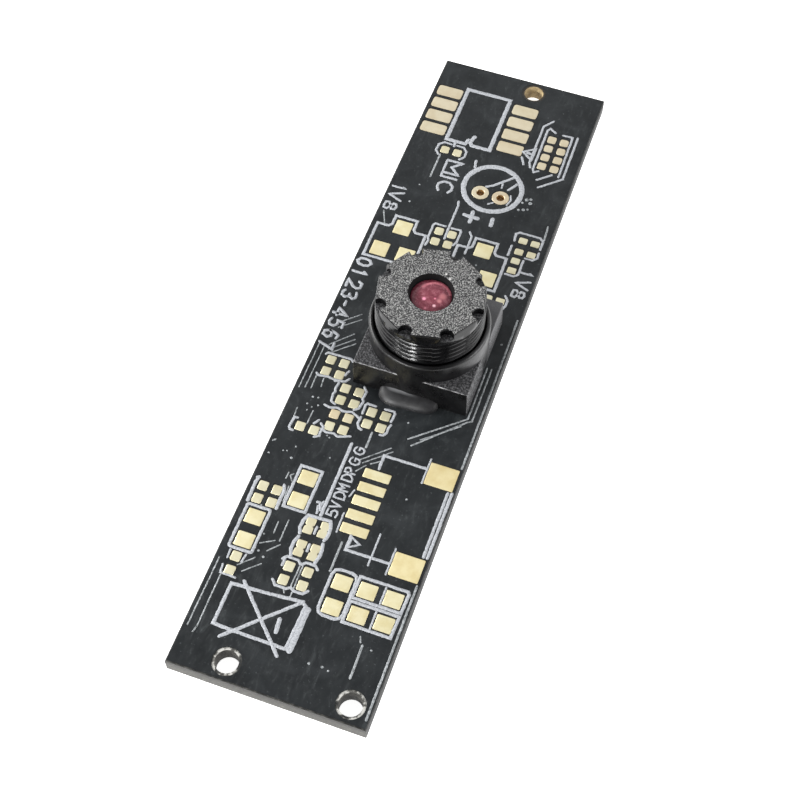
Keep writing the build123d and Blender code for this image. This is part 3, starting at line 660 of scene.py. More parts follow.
print_lines("plug_outline_print", [
    (0.2, [
        [(7.22, 35.15), (7.2, 34.15), (10.0, 34.15)],
        [(7.2, 40.1), (7.22, 41.07), (10.0, 41.07)],
        [(11.8, 35.35), (11.8, 39.95)], [(12.05, 35.3), (12.05, 39.95)],
    ]),
    (0.22, [[(4.98, 34.05), (4.98, 39.4)]]),
    (0.12, [
        [(10.06, 33.4), (10.04, 35.2)], [(10.06, 40.0), (10.04, 41.8)], [(8.85, 39.4), (8.85, 41.6)],
        [(6.25, 38.8), (6.28, 40.15)], [(6.3, 37.1), (6.16, 37.6)],
    ]),
    (0.14, [[(7.3, 40.18), (7.92, 40.48), (7.3, 40.88), (7.3, 40.18)]]),
    (0.17, [
        [(4.45, 38.62), (4.62, 38.62), (4.82, 39.1)], [(4.6, 38.9), (4.7, 39.35)], [(4.8, 38.5), (4.7, 39.0)],
    ]),
], ["print_plug_outline"])
print_lines("power_box_print", [
    (0.2, [
        box_line(2.58, 4.0, 36.56, 39.58), box_line(0.48, 1.98, 40.14, 43.2, 0.12),
        box_line(7.02, 8.58, 42.4, 45.5, 0.42),
        [(10.2, 42.42), (11.7, 42.42), (11.8, 42.6), (11.74, 43.86), (8.68, 43.86), (8.68, 42.42),
         (10.2, 42.42)],
        [(10.2, 44.08), (8.68, 44.1), (8.68, 45.5), (11.68, 45.52), (11.74, 44.1), (10.2, 44.08)],
    ]),
    (0.13, [
        [(10.38, 42.6), (10.38, 43.7)], [(10.36, 44.25), (10.36, 45.45)], [(8.64, 43.3), (8.64, 44.7)],
        [(0.7, 43.4), (0.74, 43.95)], [(1.72, 43.4), (1.66, 43.95)],
        [(0.66, 44.45), (0.72, 45.0), (1.7, 45.02)],
    ]),
], ["print_power_boxes"])
print_lines("microphone_ring_print", [
    (0.38, [ring_line(7.02, 11.02, 2.08)]),
    (0.2, [
        [(6.55, 10.95), (6.95, 10.7), (8.3, 9.35)], [(5.1, 8.9), (5.22, 9.5)], [(8.1, 10.75), (8.56, 10.0)],
    ]),
    (0.13, [
        [(8.42, 11.2), (8.55, 11.6), (8.4, 12.1)], [(7.12, 12.45), (7.42, 12.22)],
        [(7.55, 10.3), (7.6, 10.7)],
    ]),
], ["print_microphone_ring"])
print_lines("polarity_print", [
    (0.3, [[(5.86, 13.94), (6.84, 13.96)], [(6.36, 13.5), (6.42, 14.42)], [(7.86, 13.66), (7.9, 14.24)]]),
    (0.17, [[(5.12, 12.95), (5.2, 13.3), (5.22, 16.45)]]),
], ["print_polarity_marks"])
print_lines("crossed_box_print", [
    (0.22, [
        [(3.9, 45.3), (6.0, 45.12), (6.32, 45.3), (6.2, 48.2), (2.1, 48.15), (1.62, 48.1), (1.64, 45.42),
         (3.9, 45.3)],
        [(2.3, 45.05), (5.9, 48.75)], [(6.1, 45.1), (2.3, 48.75)],
    ]),
    (0.4, [[(6.5, 45.5), (6.45, 48.2)]]),
    (0.28, [[(5.2, 46.6), (5.28, 47.4)]]),
], ["print_crossed_box"])

# Printed marks: short signs at the test and plug lands, and plain numbers along the left side.
# They are the same ink, drawn by a plotter's strokes and turned to read along the board.
STROKES = {
    "0": [[(0.5, 0), (0.12, 0.15), (0, 0.5), (0.12, 0.85), (0.5, 1), (0.88, 0.85), (1, 0.5), (0.88, 0.15),
           (0.5, 0)]],
    "1": [[(0.25, 0.8), (0.5, 1), (0.5, 0)]],
    "2": [[(0, 0.78), (0.2, 1), (0.8, 1), (1, 0.75), (0.85, 0.5), (0, 0), (1, 0)]],
    "3": [[(0, 0.92), (0.3, 1), (0.75, 1), (1, 0.8), (0.75, 0.54), (0.4, 0.52)],
          [(0.75, 0.54), (1, 0.25), (0.75, 0), (0.25, 0), (0, 0.1)]],
    "4": [[(0.75, 0), (0.75, 1), (0, 0.3), (1, 0.3)]],
    "5": [[(0.95, 1), (0.15, 1), (0.1, 0.55), (0.6, 0.62), (1, 0.4), (0.9, 0.1), (0.5, 0), (0, 0.1)]],
    "6": [[(0.9, 0.95), (0.4, 1), (0.05, 0.6), (0, 0.3), (0.25, 0), (0.75, 0), (1, 0.3), (0.75, 0.55),
           (0.25, 0.52), (0, 0.35)]],
    "7": [[(0, 1), (1, 1), (0.35, 0)]],
    "8": [[(0.5, 0.52), (0.1, 0.66), (0.12, 0.9), (0.5, 1), (0.88, 0.9), (0.9, 0.66), (0.5, 0.52), (0, 0.3),
           (0.1, 0.05), (0.5, 0), (0.9, 0.05), (1, 0.3), (0.5, 0.52)]],
    "-": [[(0.1, 0.5), (0.9, 0.5)]],
    "C": [[(1, 0.85), (0.7, 1), (0.3, 1), (0, 0.7), (0, 0.3), (0.3, 0), (0.7, 0), (1, 0.15)]],
    "D": [[(0, 0), (0, 1), (0.55, 1), (1, 0.7), (1, 0.3), (0.55, 0), (0, 0)]],
    "G": [[(1, 0.85), (0.7, 1), (0.3, 1), (0, 0.7), (0, 0.3), (0.3, 0), (0.75, 0), (1, 0.2), (1, 0.5),
           (0.6, 0.5)]],
    "I": [[(0.5, 0), (0.5, 1)]],
    "M": [[(0, 0), (0, 1), (0.5, 0.4), (1, 1), (1, 0)]],
    "P": [[(0, 0), (0, 1), (0.7, 1), (1, 0.8), (1, 0.62), (0.7, 0.45), (0, 0.45)]],
    "V": [[(0, 1), (0.5, 0), (1, 1)]],
}


def sign(letter, foot, far, near, height, up):
    """The strokes of one sign between two places along the board, standing right or left of its foot."""
    strokes = []
    for stroke in STROKES[letter]:
        if up == 1:
            strokes.append([(foot + v * height, far + u * (near - far)) for u, v in stroke])
        else:
            strokes.append([(foot - v * height, near - u * (near - far)) for u, v in stroke])
    return strokes


def word(foot, letters, height=1.0, up=1):
    """The strokes of a row of signs, each with its two ends and, where it differs, its own height."""
    strokes = []
    for letter, far, near, *own_height in letters:
        strokes += sign(letter, foot, far, near, own_height[0] if own_height else height, up)
    return strokes


left_number = word(0.24, (
    ("0", 19.95, 20.55), ("1", 20.95, 21.45), ("2", 21.95, 22.55), ("3", 22.9, 23.45), ("-", 23.75, 24.15),
    ("4", 24.45, 25.05), ("5", 25.4, 25.95), ("6", 26.35, 26.9), ("7", 27.25, 27.75),
), 0.98)
microphone_sign = word(3.2, (("M", 9.5, 10.68), ("I", 10.98, 11.18)), 1.12)
microphone_sign += word(3.24, (("C", 11.52, 12.42),), 1.05)
left_supply = word(0.26, (("1", 13.0, 13.3), ("V", 13.55, 14.3), ("8", 14.6, 15.25, 0.9)), 0.98)
right_supply = word(11.0, (("1", 17.25, 17.65, 0.9), ("V", 18.05, 18.75, 0.92), ("8", 18.98, 19.6, 0.88)))
plug_signs = word(5.92, (
    ("5", 38.8, 39.25), ("V", 38.25, 38.65), ("D", 37.5, 37.95), ("M", 36.95, 37.35), ("D", 36.2, 36.62),
    ("P", 35.7, 36.05), ("G", 34.95, 35.4, 0.62), ("G", 34.15, 34.6, 0.62),
), 0.66, -1)
print_lines("sign_print", [
    (0.2, left_number), (0.18, [[(3.16, 9.5), (3.16, 11.1)]]), (0.2, microphone_sign),
    (0.17, left_supply), (0.17, right_supply), (0.13, plug_signs),
])

# Conductors: copper tracks and covered via holes under the mask, seen as thin raised ridges. Their pale grey
# is a painted highlight for the light that the ridges catch.
ridge_glint = Finish("track_crest", tone(138, 142, 144), 0.38)
ridge_glint_tone = ridge_glint.ramp(
    ridge_glint.noise(0.14, 3.0, 0.7),
    (0.32, tone(84, 88, 90)), (0.5, tone(138, 142, 144)), (0.7, tone(182, 185, 188)),
)
ridge_glint.colour(ridge_glint_tone)
ridge_glint.bump(ridge_glint.noise(0.1), 0.006)
hair_tracks = [
    [(0.9, 25.55), (2.1, 24.45)], [(1.0, 25.95), (2.25, 24.85)], [(0.92, 27.45), (2.2, 26.1)],
    [(1.02, 27.8), (2.4, 26.5)], [(1.25, 28.0), (2.55, 26.82)], [(0.28, 27.4), (0.28, 31.2)],
    [(0.68, 27.7), (0.66, 31.08)], [(1.02, 29.98), (1.04, 31.0)], [(1.56, 30.06), (1.62, 30.7)],
    [(11.05, 30.5), (8.95, 32.3)], [(7.42, 33.5), (5.9, 34.92)], [(7.62, 33.72), (6.1, 35.1)],
    [(7.3, 34.5), (6.6, 35.0)], [(6.35, 35.2), (5.9, 35.8)], [(0.76, 32.7), (0.8, 33.4)],
    [(1.8, 32.6), (1.78, 33.6)], [(2.72, 40.7), (2.74, 41.5)], [(3.26, 40.4), (3.28, 41.9)],
    [(3.4, 42.1), (2.8, 42.75)], [(3.0, 41.95), (2.2, 42.4)], [(2.3, 43.4), (1.5, 44.2)],
    [(2.8, 43.65), (1.9, 44.5)], [(0.28, 44.1), (0.26, 48.7)], [(0.8, 44.9), (0.82, 48.6), (0.72, 49.0)],
    [(5.2, 42.8), (5.24, 45.2)], [(5.05, 42.8), (5.02, 44.4)], [(10.02, 46.0), (10.15, 46.35)],
    [(2.02, 37.3), (2.02, 37.75)], [(2.35, 37.3), (2.2, 37.45), (2.42, 37.8)], [(2.4, 38.2), (2.46, 39.3)],
    [(4.66, 44.7), (4.8, 44.95)], [(0.35, 35.35), (0.2, 35.5)], [(0.42, 15.5), (0.95, 16.75)],
]
tracks_by_foot = [
    [(11.28, 25.7), (11.3, 29.82), (8.2, 32.5)], [(11.58, 25.7), (11.6, 29.9), (11.3, 30.1), (8.55, 32.9)],
]
broad_tracks = [
    [(5.9, 32.85), (5.92, 33.98)], [(2.47, 9.2), (2.48, 11.4)], [(11.7, 13.0), (11.78, 14.2)],
    [(6.85, 40.7), (6.86, 42.7)], [(10.32, 46.5), (10.34, 48.6)], [(12.06, 41.9), (12.06, 50.6)],
    [(12.04, 21.4), (12.08, 33.4)],
]
print_lines("track_crests", [
    (0.085, hair_tracks), (0.115, tracks_by_foot), (0.14, broad_tracks),
], (), ridge_glint, 0.012, 0.008)

# The covered vias are low domes in the same painted ridge highlight.
VIA_R, BIG_VIA_R = 0.075, 0.12
big_vias = [
    (9.6, 11.15), (9.86, 11.02), (9.38, 11.5), (9.92, 11.38), (9.62, 12.1), (9.9, 11.98), (9.3, 12.22),
]
small_vias = [
    (1.4, 31.6), (1.75, 31.55), (2.3, 31.9), (1.25, 32.2), (1.62, 32.35), (1.95, 32.1), (1.4, 32.65),
    (0.3, 35.4), (0.3, 36.4), (1.1, 35.95), (1.34, 35.88), (1.75, 35.42), (1.78, 36.28), (4.05, 35.45),
    (9.55, 36.6), (7.82, 31.38), (3.5, 34.1), (3.3, 34.0), (2.2, 41.75), (2.32, 42.9), (2.75, 43.2),
    (1.3, 40.0), (8.0, 17.9), (7.0, 20.0), (10.9, 46.6), (9.0, 48.6), (8.6, 48.5), (7.8, 48.55),
    (11.6, 23.6), (2.0, 12.4), (1.85, 14.1), (0.9, 23.3),
]
via_verts, via_faces = [], []
for via_r, spots in ((BIG_VIA_R, big_vias), (VIA_R, small_vias)):
    for spot in spots:
        reach = via_r * ink_rng.uniform(0.75, 1.2)
        profile = (
            (reach, MASK_TOP - 0.001), (0.7 * reach, MASK_TOP + 0.013), (0.35 * reach, MASK_TOP + 0.014),
            (0.05 * reach, MASK_TOP + 0.005),
        )
        add_form(via_verts, via_faces, turned(profile, board_place(*spot), 10, ink_rng.uniform(0, 1)))
new_piece("covered_vias", via_verts, via_faces, [ridge_glint], (), 60)

# Lens holder: one black moulding, a square foot on the board with a round collar for the lens's thread.
# The collar and the foot's near wall are polished, that wall's top edge is painted pale as a highlight, and
# the rest of the foot is spark-eroded and dull.
FOOT_HALF = 3.88
FOOT_H = 2.3
FOOT_TOP = MASK_TOP + FOOT_H
FOOT_DRAFT, FOOT_ROUND = 0.058, 0.07
CORNER_STEPS = 7
COLLAR_STEPS = 120
gloss = Finish("polished_black_plastic", tone(12, 12, 13), 0.3, Specular_IOR_Level=0.33)
gloss_patch = gloss.noise(0.9, 3.0)
gloss_tone = gloss.ramp(gloss_patch, (0.3, tone(8, 8, 9)), (0.7, tone(15, 15, 16)))
# Painted reflection: a pale grey patch on the collar's right side.
collar_sheen = gloss.spot(LENS_X + 3.7, LENS_Y + 0.4, MASK_TOP + 2.7, 3.6)
gloss.colour(gloss.mix(collar_sheen, gloss_tone, tone(58, 58, 59)))
gloss.roughness(gloss.ramp(gloss_patch, (0.3, 0.24), (0.7, 0.36)))
gloss.bump(gloss.noise(0.35, 3.0), 0.008, 0.5)
# Painted highlight: the near wall's top edge is pale grey where it catches the light.
edge_highlight = Finish("edge_highlight_mould_edge", tone(104, 104, 106), 0.3)
edge_highlight_noise = edge_highlight.noise(0.5, 3.0, 0.7)
edge_highlight_tone = edge_highlight.ramp(
    edge_highlight_noise, (0.38, tone(34, 34, 35)), (0.5, tone(112, 112, 114)), (0.62, tone(176, 176, 178)),
)
edge_highlight.colour(edge_highlight_tone)
edge_highlight.bump(edge_highlight_noise, 0.004, 0.5)
dull = Finish("eroded_black_plastic", tone(56, 56, 58), 0.6)
pits = dull.noise(0.12, 3.0, 0.7)
pit_tone = dull.ramp(pits, (0.38, tone(16, 16, 18)), (0.5, tone(44, 44, 46)), (0.64, tone(106, 106, 108)))
# Painted reflection: a smooth pale grey patch on the top of the foot's far right corner.
far_corner_sheen = dull.spot(LENS_X + 3.7, LENS_Y + 2.7, FOOT_TOP, 2.8)
dull.colour(dull.mix(far_corner_sheen, pit_tone, tone(82, 82, 84)))
dull.roughness(dull.ramp(pits, (0.4, 0.7), (0.65, 0.42)))
dull.bump(pits, 0.03, 0.9)


def square_ring(half, corner, z):
    """One level of the foot: a square with round corners, counted anticlockwise from the near right one."""
    return [
        (LENS_X + sx * (half - corner) + corner * cos(radians(turn + 15 * k)),
         LENS_Y + sy * (half - corner) + corner * sin(radians(turn + 15 * k)), z)
        for sx, sy, turn in ((1, -1, -90), (1, 1, 0), (-1, 1, 90), (-1, -1, 180))
        for k in range(CORNER_STEPS)
    ]


draft_half = FOOT_HALF - FOOT_DRAFT
round_foot = FOOT_TOP - FOOT_ROUND
foot_levels = [(FOOT_HALF, 0.1, MASK_TOP), (draft_half, 0.1, round_foot)]
foot_levels += [
    (draft_half - 0.06 * (1 - cos(radians(turn))), 0.1, round_foot + FOOT_ROUND * sin(radians(turn)))
    for turn in (30, 60, 90)
]
foot_levels += [(FOOT_HALF - 0.16, 0.08, FOOT_TOP), (2.6, 0.08, FOOT_TOP)]
GLOSS, DULL, EDGE_HIGHLIGHT = 0, 1, 2
foot_steps = 4 * CORNER_STEPS
near_wall_steps = (*range(3 * CORNER_STEPS, foot_steps), 0, 1, 2)


def foot_skin(step, level):
    """The finish of one facet of the foot, from its step round the foot and its level."""
    if step not in near_wall_steps or level >= 4:
        return DULL
    return GLOSS if level < 2 else EDGE_HIGHLIGHT


holder_verts, holder_faces, holder_skins = [], [], []
for half, corner, z in foot_levels:
    holder_verts += square_ring(half, corner, z)
for level in range(len(foot_levels) - 1):
    a, b = level * foot_steps, (level + 1) * foot_steps
    for i in range(foot_steps):
        holder_faces.append((a + i, a + (i + 1) % foot_steps, b + (i + 1) % foot_steps, b + i))
        holder_skins.append(foot_skin(i, level))
collar_profile = [
    (3.9, 0.0), (3.9, 1.8), (3.9, 3.6), (3.885, 3.67), (3.84, 3.74), (3.78, 3.785), (3.71, 3.8), (3.66, 3.8),
    (3.635, 3.79), (3.62, 3.765), (3.62, 3.5), (3.56, 3.45), (3.56, 1.5), (3.1, 1.45), (3.1, 0.0),
]
collar = turned([(r, z + MASK_TOP) for r, z in collar_profile], (LENS_X, LENS_Y), COLLAR_STEPS)
add_form(holder_verts, holder_faces, collar)
holder_skins += [GLOSS] * len(collar[1])
new_piece(
    "holder_moulding", holder_verts, holder_faces, [gloss, dull, edge_highlight],
    ["lens_holder"], 35, holder_skins,
)

# Glue: a bead of black epoxy run along the foot's near side, smooth and full like a drop.
# It wets the wall and the board, and a pale streak along the left of its ridge is a painted sheen.
GLUE_L, GLUE_REACH, GLUE_H = 4.06, 0.94, 0.7
glue = Finish("black_glue", tone(30, 30, 32), 0.34, Specular_IOR_Level=0.5)
glue_tone = glue.ramp(glue.noise(0.5), (0.3, tone(20, 20, 22)), (0.7, tone(40, 40, 42)))
# Painted sheen: the bead's upward-facing ridge, towards its left, is painted pale grey.
on_ridge = glue.ramp(glue.normal_part(2), (0.95, 0.0), (0.99, 1.0))
ridge_sheen = glue.math("MULTIPLY", on_ridge, glue.spot(LENS_X - 0.78, LENS_Y - 4.1, MASK_TOP + 0.65, 1.5))
glue.colour(glue.mix(ridge_sheen, glue_tone, tone(124, 125, 127)))
glue.roughness(glue.ramp(glue.noise(0.6, 3.0), (0.35, 0.4), (0.7, 0.56)))
glue.bump(glue.noise(1.2, 2.0), 0.02, 0.5)
glue_verts, glue_faces = [], []
GLUE_ROWS, GLUE_COLUMNS = 9, 48
for column in range(GLUE_COLUMNS + 1):
    along = -1 + 2 * column / GLUE_COLUMNS
    swell = (1 - abs(along) ** 3.2) ** 0.5 if abs(along) < 1 else 0.0
    swell *= 1 - 0.12 * sin(2.1 * along + 0.8)
    for row in range(GLUE_ROWS + 1):
        turn = pi / 2 * row / GLUE_ROWS
        glue_verts.append((
            LENS_X + along * GLUE_L / 2,
            LENS_Y - FOOT_HALF + 0.06 - (GLUE_REACH + 0.08) * swell * cos(turn) ** 1.25,
            MASK_TOP + GLUE_H * swell**0.6 * sin(turn) ** 1.1,
        ))
for column in range(GLUE_COLUMNS):
    for row in range(GLUE_ROWS):
        a = column * (GLUE_ROWS + 1) + row
        glue_faces.append((a, a + GLUE_ROWS + 1, a + GLUE_ROWS + 2, a + 1))
new_piece("glue_bead", glue_verts, glue_faces, [glue], ["holder_glue_bead"], 60)

# Lens barrel: one black moulding with a thread below and an eight-sided grip head, a notch at each corner.
# The face is spark-eroded to a coarse sparkling grain; the flats, the notch walls and the thread are
# polished, and the notch floors take the foot's darker eroded finish as painted shade.
HEAD_TOP = 7.75
HEAD_R = 3.48
FLAT_H = 0.85
FLAT_FOOT = HEAD_TOP - FLAT_H
FLAT_TOP_R = 3.36
GRIP_TURN = 35.2
NOTCH_R, NOTCH_AT, NOTCH_DEPTH = 0.42, 3.33, 0.5
THREAD_R, THREAD_PITCH, THREAD_CUT = 3.5, 0.42, 0.15
THREAD_FOOT = 4.6
face_grain = Finish("grip_face_grain", tone(70, 70, 71), 0.5)
sparks = face_grain.noise(0.085, 2.0, 0.6)
spark_tone = face_grain.ramp(
    sparks, (0.36, tone(18, 18, 19)), (0.5, tone(66, 66, 67)), (0.64, tone(170, 170, 168)),
)
# A dark nick on the face, and beside it two tiny white spots that are painted glints on its edges.
nick = face_grain.spot(LENS_X + 0.58, LENS_Y + 1.51, HEAD_TOP, 0.14)
glint_near = face_grain.spot(LENS_X + 0.76, LENS_Y + 1.36, HEAD_TOP, 0.1)
glint_far = face_grain.spot(LENS_X + 0.42, LENS_Y + 1.64, HEAD_TOP, 0.1)
spark_tone = face_grain.mix(nick, spark_tone, tone(18, 18, 19))
glint_spots = face_grain.math("MAXIMUM", glint_near, glint_far)
face_grain.colour(face_grain.mix(glint_spots, spark_tone, tone(224, 222, 220)))
face_grain.roughness(face_grain.ramp(sparks, (0.4, 0.65), (0.62, 0.34)))
face_grain.bump(sparks, 0.03, 1.0)
throat_black = Finish("throat_black", tone(8, 8, 9), 0.75, Specular_IOR_Level=0.2)
throat_black.bump(throat_black.noise(0.1), 0.006)
barrel_gloss = Finish("polished_barrel", tone(8, 8, 9), 0.22, Specular_IOR_Level=0.34)
barrel_gloss.colour(barrel_gloss.ramp(barrel_gloss.noise(0.6), (0.3, tone(6, 6, 7)), (0.7, tone(13, 13, 14))))
barrel_gloss.roughness(barrel_gloss.ramp(barrel_gloss.noise(0.4, 3.0), (0.3, 0.12), (0.7, 0.24)))
barrel_gloss.bump(barrel_gloss.noise(0.25, 3.0), 0.008, 0.5)

notch_edge = 2 * asin(NOTCH_R / (2 * NOTCH_AT))
turns = []
for k in range(8):
    centre = radians(GRIP_TURN + 45 * k)
    offsets = [notch_edge * share for share in (0, 0.25, 0.5, 0.7, 0.85, 0.94, 0.985, 1.015, 1.08)]
    offsets += [notch_edge * 1.08 + (pi / 8 - notch_edge * 1.08) * share for share in (0.2, 0.4, 0.6, 0.8)]
    turns += [centre - o for o in reversed(offsets[1:])] + [centre + o for o in offsets] + [centre + pi / 8]


def flat_reach(turn, height):
    """The reach of the grip's flats at a height above their foot: a tapering octagon cut from a round."""
    off = (turn - radians(GRIP_TURN)) % (pi / 4) - pi / 8
    flat_r = HEAD_R + (FLAT_TOP_R - HEAD_R) * height / FLAT_H
    return min(HEAD_R, flat_r / cos(off))


def notch_reach(turn):
    """The wall of the notch nearest to a turn, or no limit outside the notches."""
    off = (turn - radians(GRIP_TURN) + pi / 8) % (pi / 4) - pi / 8
    if abs(off) >= notch_edge:
        return 99.0
    return NOTCH_AT * cos(off) - sqrt(max(0.0, NOTCH_R**2 - (NOTCH_AT * sin(off)) ** 2))


def thread_reach(turn, z):
    """The thread's ridges, rising by one pitch a turn."""
    phase = ((z / THREAD_PITCH) - turn / tau) % 1.0
    return THREAD_R - THREAD_CUT * (1 - abs(2 * phase - 1)) ** 1.15


def grip_reach(turn, height):
    """The grip's wall above the notches' floor: its flats, cut back by the notches."""
    return min(flat_reach(turn, height), notch_reach(turn))


POLISHED, GRAIN, THROAT, NOTCH_FLOOR = 0, 1, 2, 3
barrel_verts, band_skins = [], []


def barrel_ring(z, reach, skin):
    """One level of the barrel, from its reach at each turn, with the finish of the band that ends at it."""
    for turn in turns:
        barrel_verts.append((LENS_X + reach(turn) * cos(turn), LENS_Y + reach(turn) * sin(turn), z))
    band_skins.append(skin)


z = THREAD_FOOT
while z < FLAT_FOOT - 0.06:
    barrel_ring(z, lambda turn: thread_reach(turn, z), POLISHED)
    z += THREAD_PITCH / 10
barrel_ring(FLAT_FOOT - 0.04, lambda turn: 3.44, POLISHED)
barrel_ring(FLAT_FOOT - 0.01, lambda turn: 3.46, POLISHED)
barrel_ring(FLAT_FOOT + 0.03, lambda turn: flat_reach(turn, 0.03), POLISHED)
ledge = FLAT_H - NOTCH_DEPTH
barrel_ring(FLAT_FOOT + ledge, lambda turn: flat_reach(turn, ledge), POLISHED)
# The notch floors take the darker eroded finish: painted shade in the notches.
barrel_ring(FLAT_FOOT + ledge, lambda turn: grip_reach(turn, ledge), NOTCH_FLOOR)
for height in (0.5, 0.65, 0.79):
    barrel_ring(FLAT_FOOT + height, lambda turn: grip_reach(turn, height), POLISHED)
for drop, inset in ((0.03, 0.008), (0.008, 0.025), (0.0, 0.045)):
    barrel_ring(HEAD_TOP - drop, lambda turn: grip_reach(turn, FLAT_H - drop) - inset, POLISHED)
for radius in (9.0, 2.75, 2.1, 1.5):
    barrel_ring(HEAD_TOP, lambda turn: min(grip_reach(turn, FLAT_H) - 0.06, radius), GRAIN)
barrel_ring(HEAD_TOP, lambda turn: 1.455, GRAIN)
for drop, radius in ((0.012, 1.435), (0.3, 1.34), (0.75, 1.32)):
    barrel_ring(HEAD_TOP - drop, lambda turn: radius, THROAT)
count = len(turns)
barrel_faces, barrel_skins = [], []
for level in range(len(band_skins) - 1):
    a, b = level * count, (level + 1) * count
    barrel_faces += [(a + i, a + (i + 1) % count, b + (i + 1) % count, b + i) for i in range(count)]
    barrel_skins += [band_skins[level + 1]] * count
new_piece(
    "grip_barrel", barrel_verts, barrel_faces, [barrel_gloss, face_grain, throat_black, dull],
    ["lens_barrel"], 32, barrel_skins,
)

# Front lens: moulded glass with a magenta coating, seated a little below the face.
# A painted pink arc stands for the edge of the next lens seen through it, small pale spots are painted
# reflections of lamps, and dust gives paler specks.
coated = Finish("coated_front_lens", tone(112, 46, 58), 0.12, Coat_Weight=0.3)
lens_spots = coated.noise(0.3, 3.0, 0.65, 0.5)
lens_dust = coated.noise(0.11, 2.0, 0.6)
lens_tone = coated.ramp(
    lens_spots, (0.34, tone(102, 42, 54)), (0.5, tone(122, 57, 70)), (0.68, tone(146, 86, 96)),
)
GLASS_TOP = HEAD_TOP - 0.3
GLASS_STEPS = 64
# Painted reflection: a pink arc on the far side for the next lens's edge, broken up by the dust noise.
painted_arc = coated.spot(LENS_X + 0.2, LENS_Y + 0.08, GLASS_TOP, 0.14, 0.97)
far_side = coated.math("GREATER_THAN", coated.place_part(1), (LENS_Y + 0.42) * MM)
far_painted_arc = coated.math("MULTIPLY", painted_arc, far_side)
broken_painted_arc = coated.math("MULTIPLY", far_painted_arc, coated.ramp(lens_dust, (0.4, 0.5), (0.6, 1.0)))
lens_tone = coated.mix(broken_painted_arc, lens_tone, tone(206, 120, 132))
# Painted reflections of lamps: small pink and pale spots.
for dx, dy, reach, lamp_reflection_tone in (
    (-0.34, -0.40, 0.17, tone(246, 156, 182)), (0.30, -0.16, 0.09, tone(222, 130, 150)),
    (0.72, 0.15, 0.34, tone(176, 106, 112)), (0.42, -0.69, 0.15, tone(252, 196, 206)),
    (-0.05, -1.02, 0.12, tone(214, 130, 146)), (0.62, -0.25, 0.22, tone(186, 118, 124)),
):
    lens_tone = coated.mix(coated.spot(LENS_X + dx, LENS_Y + dy, GLASS_TOP, reach), lens_tone, lamp_reflection_tone)
coated.colour(coated.mix(coated.ramp(lens_dust, (0.66, 0.0), (0.74, 0.6)), lens_tone, tone(206, 140, 152)))
coated.bump(coated.noise(0.5, 2.0), 0.004, 0.3)
lens_profile = [
    (1.285, GLASS_TOP - 0.7), (1.285, GLASS_TOP - 0.12), (1.22, GLASS_TOP - 0.09), (1.0, GLASS_TOP - 0.05),
    (0.7, GLASS_TOP - 0.022), (0.35, GLASS_TOP - 0.005), (0.02, GLASS_TOP),
]
verts, faces = turned(lens_profile, (LENS_X, LENS_Y), GLASS_STEPS)
verts.append((LENS_X, LENS_Y, GLASS_TOP))
tip = (len(lens_profile) - 1) * GLASS_STEPS
faces += [(tip + i, tip + (i + 1) % GLASS_STEPS, len(verts) - 1) for i in range(GLASS_STEPS)]
new_piece("front_glass", verts, faces, [coated], ["front_lens"], 60)

# Optics inside the barrel: a stop, a spacer, the rear lens, an infrared filter and the ring that holds them.
# The front lens covers them, so they have plain finishes of the right kind.
film = Finish("black_film", tone(20, 20, 22), 0.6)
film.bump(film.noise(0.2), 0.004)
inner = Finish("inner_plastic", tone(26, 26, 28), 0.55)
inner.bump(inner.noise(0.25), 0.006)
clear = Finish("clear_lens", tone(214, 220, 226), 0.05, Transmission_Weight=0.9, IOR=1.53)
clear.bump(clear.noise(2.0), 0.001, 0.2)
blue_glass = Finish("filter_glass", tone(150, 196, 206), 0.06, Transmission_Weight=0.7, IOR=1.52)
blue_glass.bump(blue_glass.noise(2.0), 0.001, 0.2)
dress("aperture_stop", film)
dress("lens_spacer", inner)
dress("retaining_ring", inner)
dress("rear_lens", clear)
dress("infrared_filter", blue_glass)

# Image sensor: a ceramic package soldered to the board under the holder, with its die behind a cover glass.
# The holder hides it, so it has plain finishes of the right kind.
ceramic = Finish("sensor_ceramic", tone(70, 66, 64), 0.7)
ceramic.bump(ceramic.noise(0.15), 0.008)
silicon = Finish("silicon", tone(72, 78, 104), 0.18, Metallic=0.6)
silicon.bump(silicon.cells(0.3), 0.002, 0.4)
cover = Finish("cover_glass", tone(226, 232, 230), 0.04, Transmission_Weight=0.9, IOR=1.5)
cover.bump(cover.noise(2.0), 0.001, 0.2)
tin = Finish("solder", tone(186, 188, 190), 0.3, Metallic=1.0)
tin.bump(tin.noise(0.12), 0.006)
dress("sensor_package", ceramic)
dress("sensor_die", silicon)
dress("sensor_cover_glass", cover)
dress("sensor_solder", tin)

# Photo corner: a white table under a bright tent, with soft windows at the left and right and a low, wide
# one at the near left. The camera looks down from beyond the board's near end, a little to its right.
table_finish = Finish("white_table", tone(252, 252, 252), 0.8)
table_grain = table_finish.noise(40.0)
table_finish.colour(table_finish.ramp(table_grain, (0.3, tone(250, 250, 250)), (0.7, tone(254, 254, 254))))
table_finish.set(table_finish.shader, {"Emission Color": (1, 1, 1, 1), "Emission Strength": 0.9})
TABLE_HALF, TABLE_TOP = 1.2, -0.00002
table_mesh = bpy.data.meshes.new("white_table")
table_corners = [(x * TABLE_HALF, y * TABLE_HALF, TABLE_TOP) for x, y in ((-1, -1), (1, -1), (1, 1), (-1, 1))]
table_mesh.from_pydata(table_corners, [], [(0, 1, 2, 3)])
table_mesh.materials.append(table_finish.material)
table_piece = bpy.data.objects.new("white_table", table_mesh)
bpy.context.scene.collection.objects.link(table_piece)

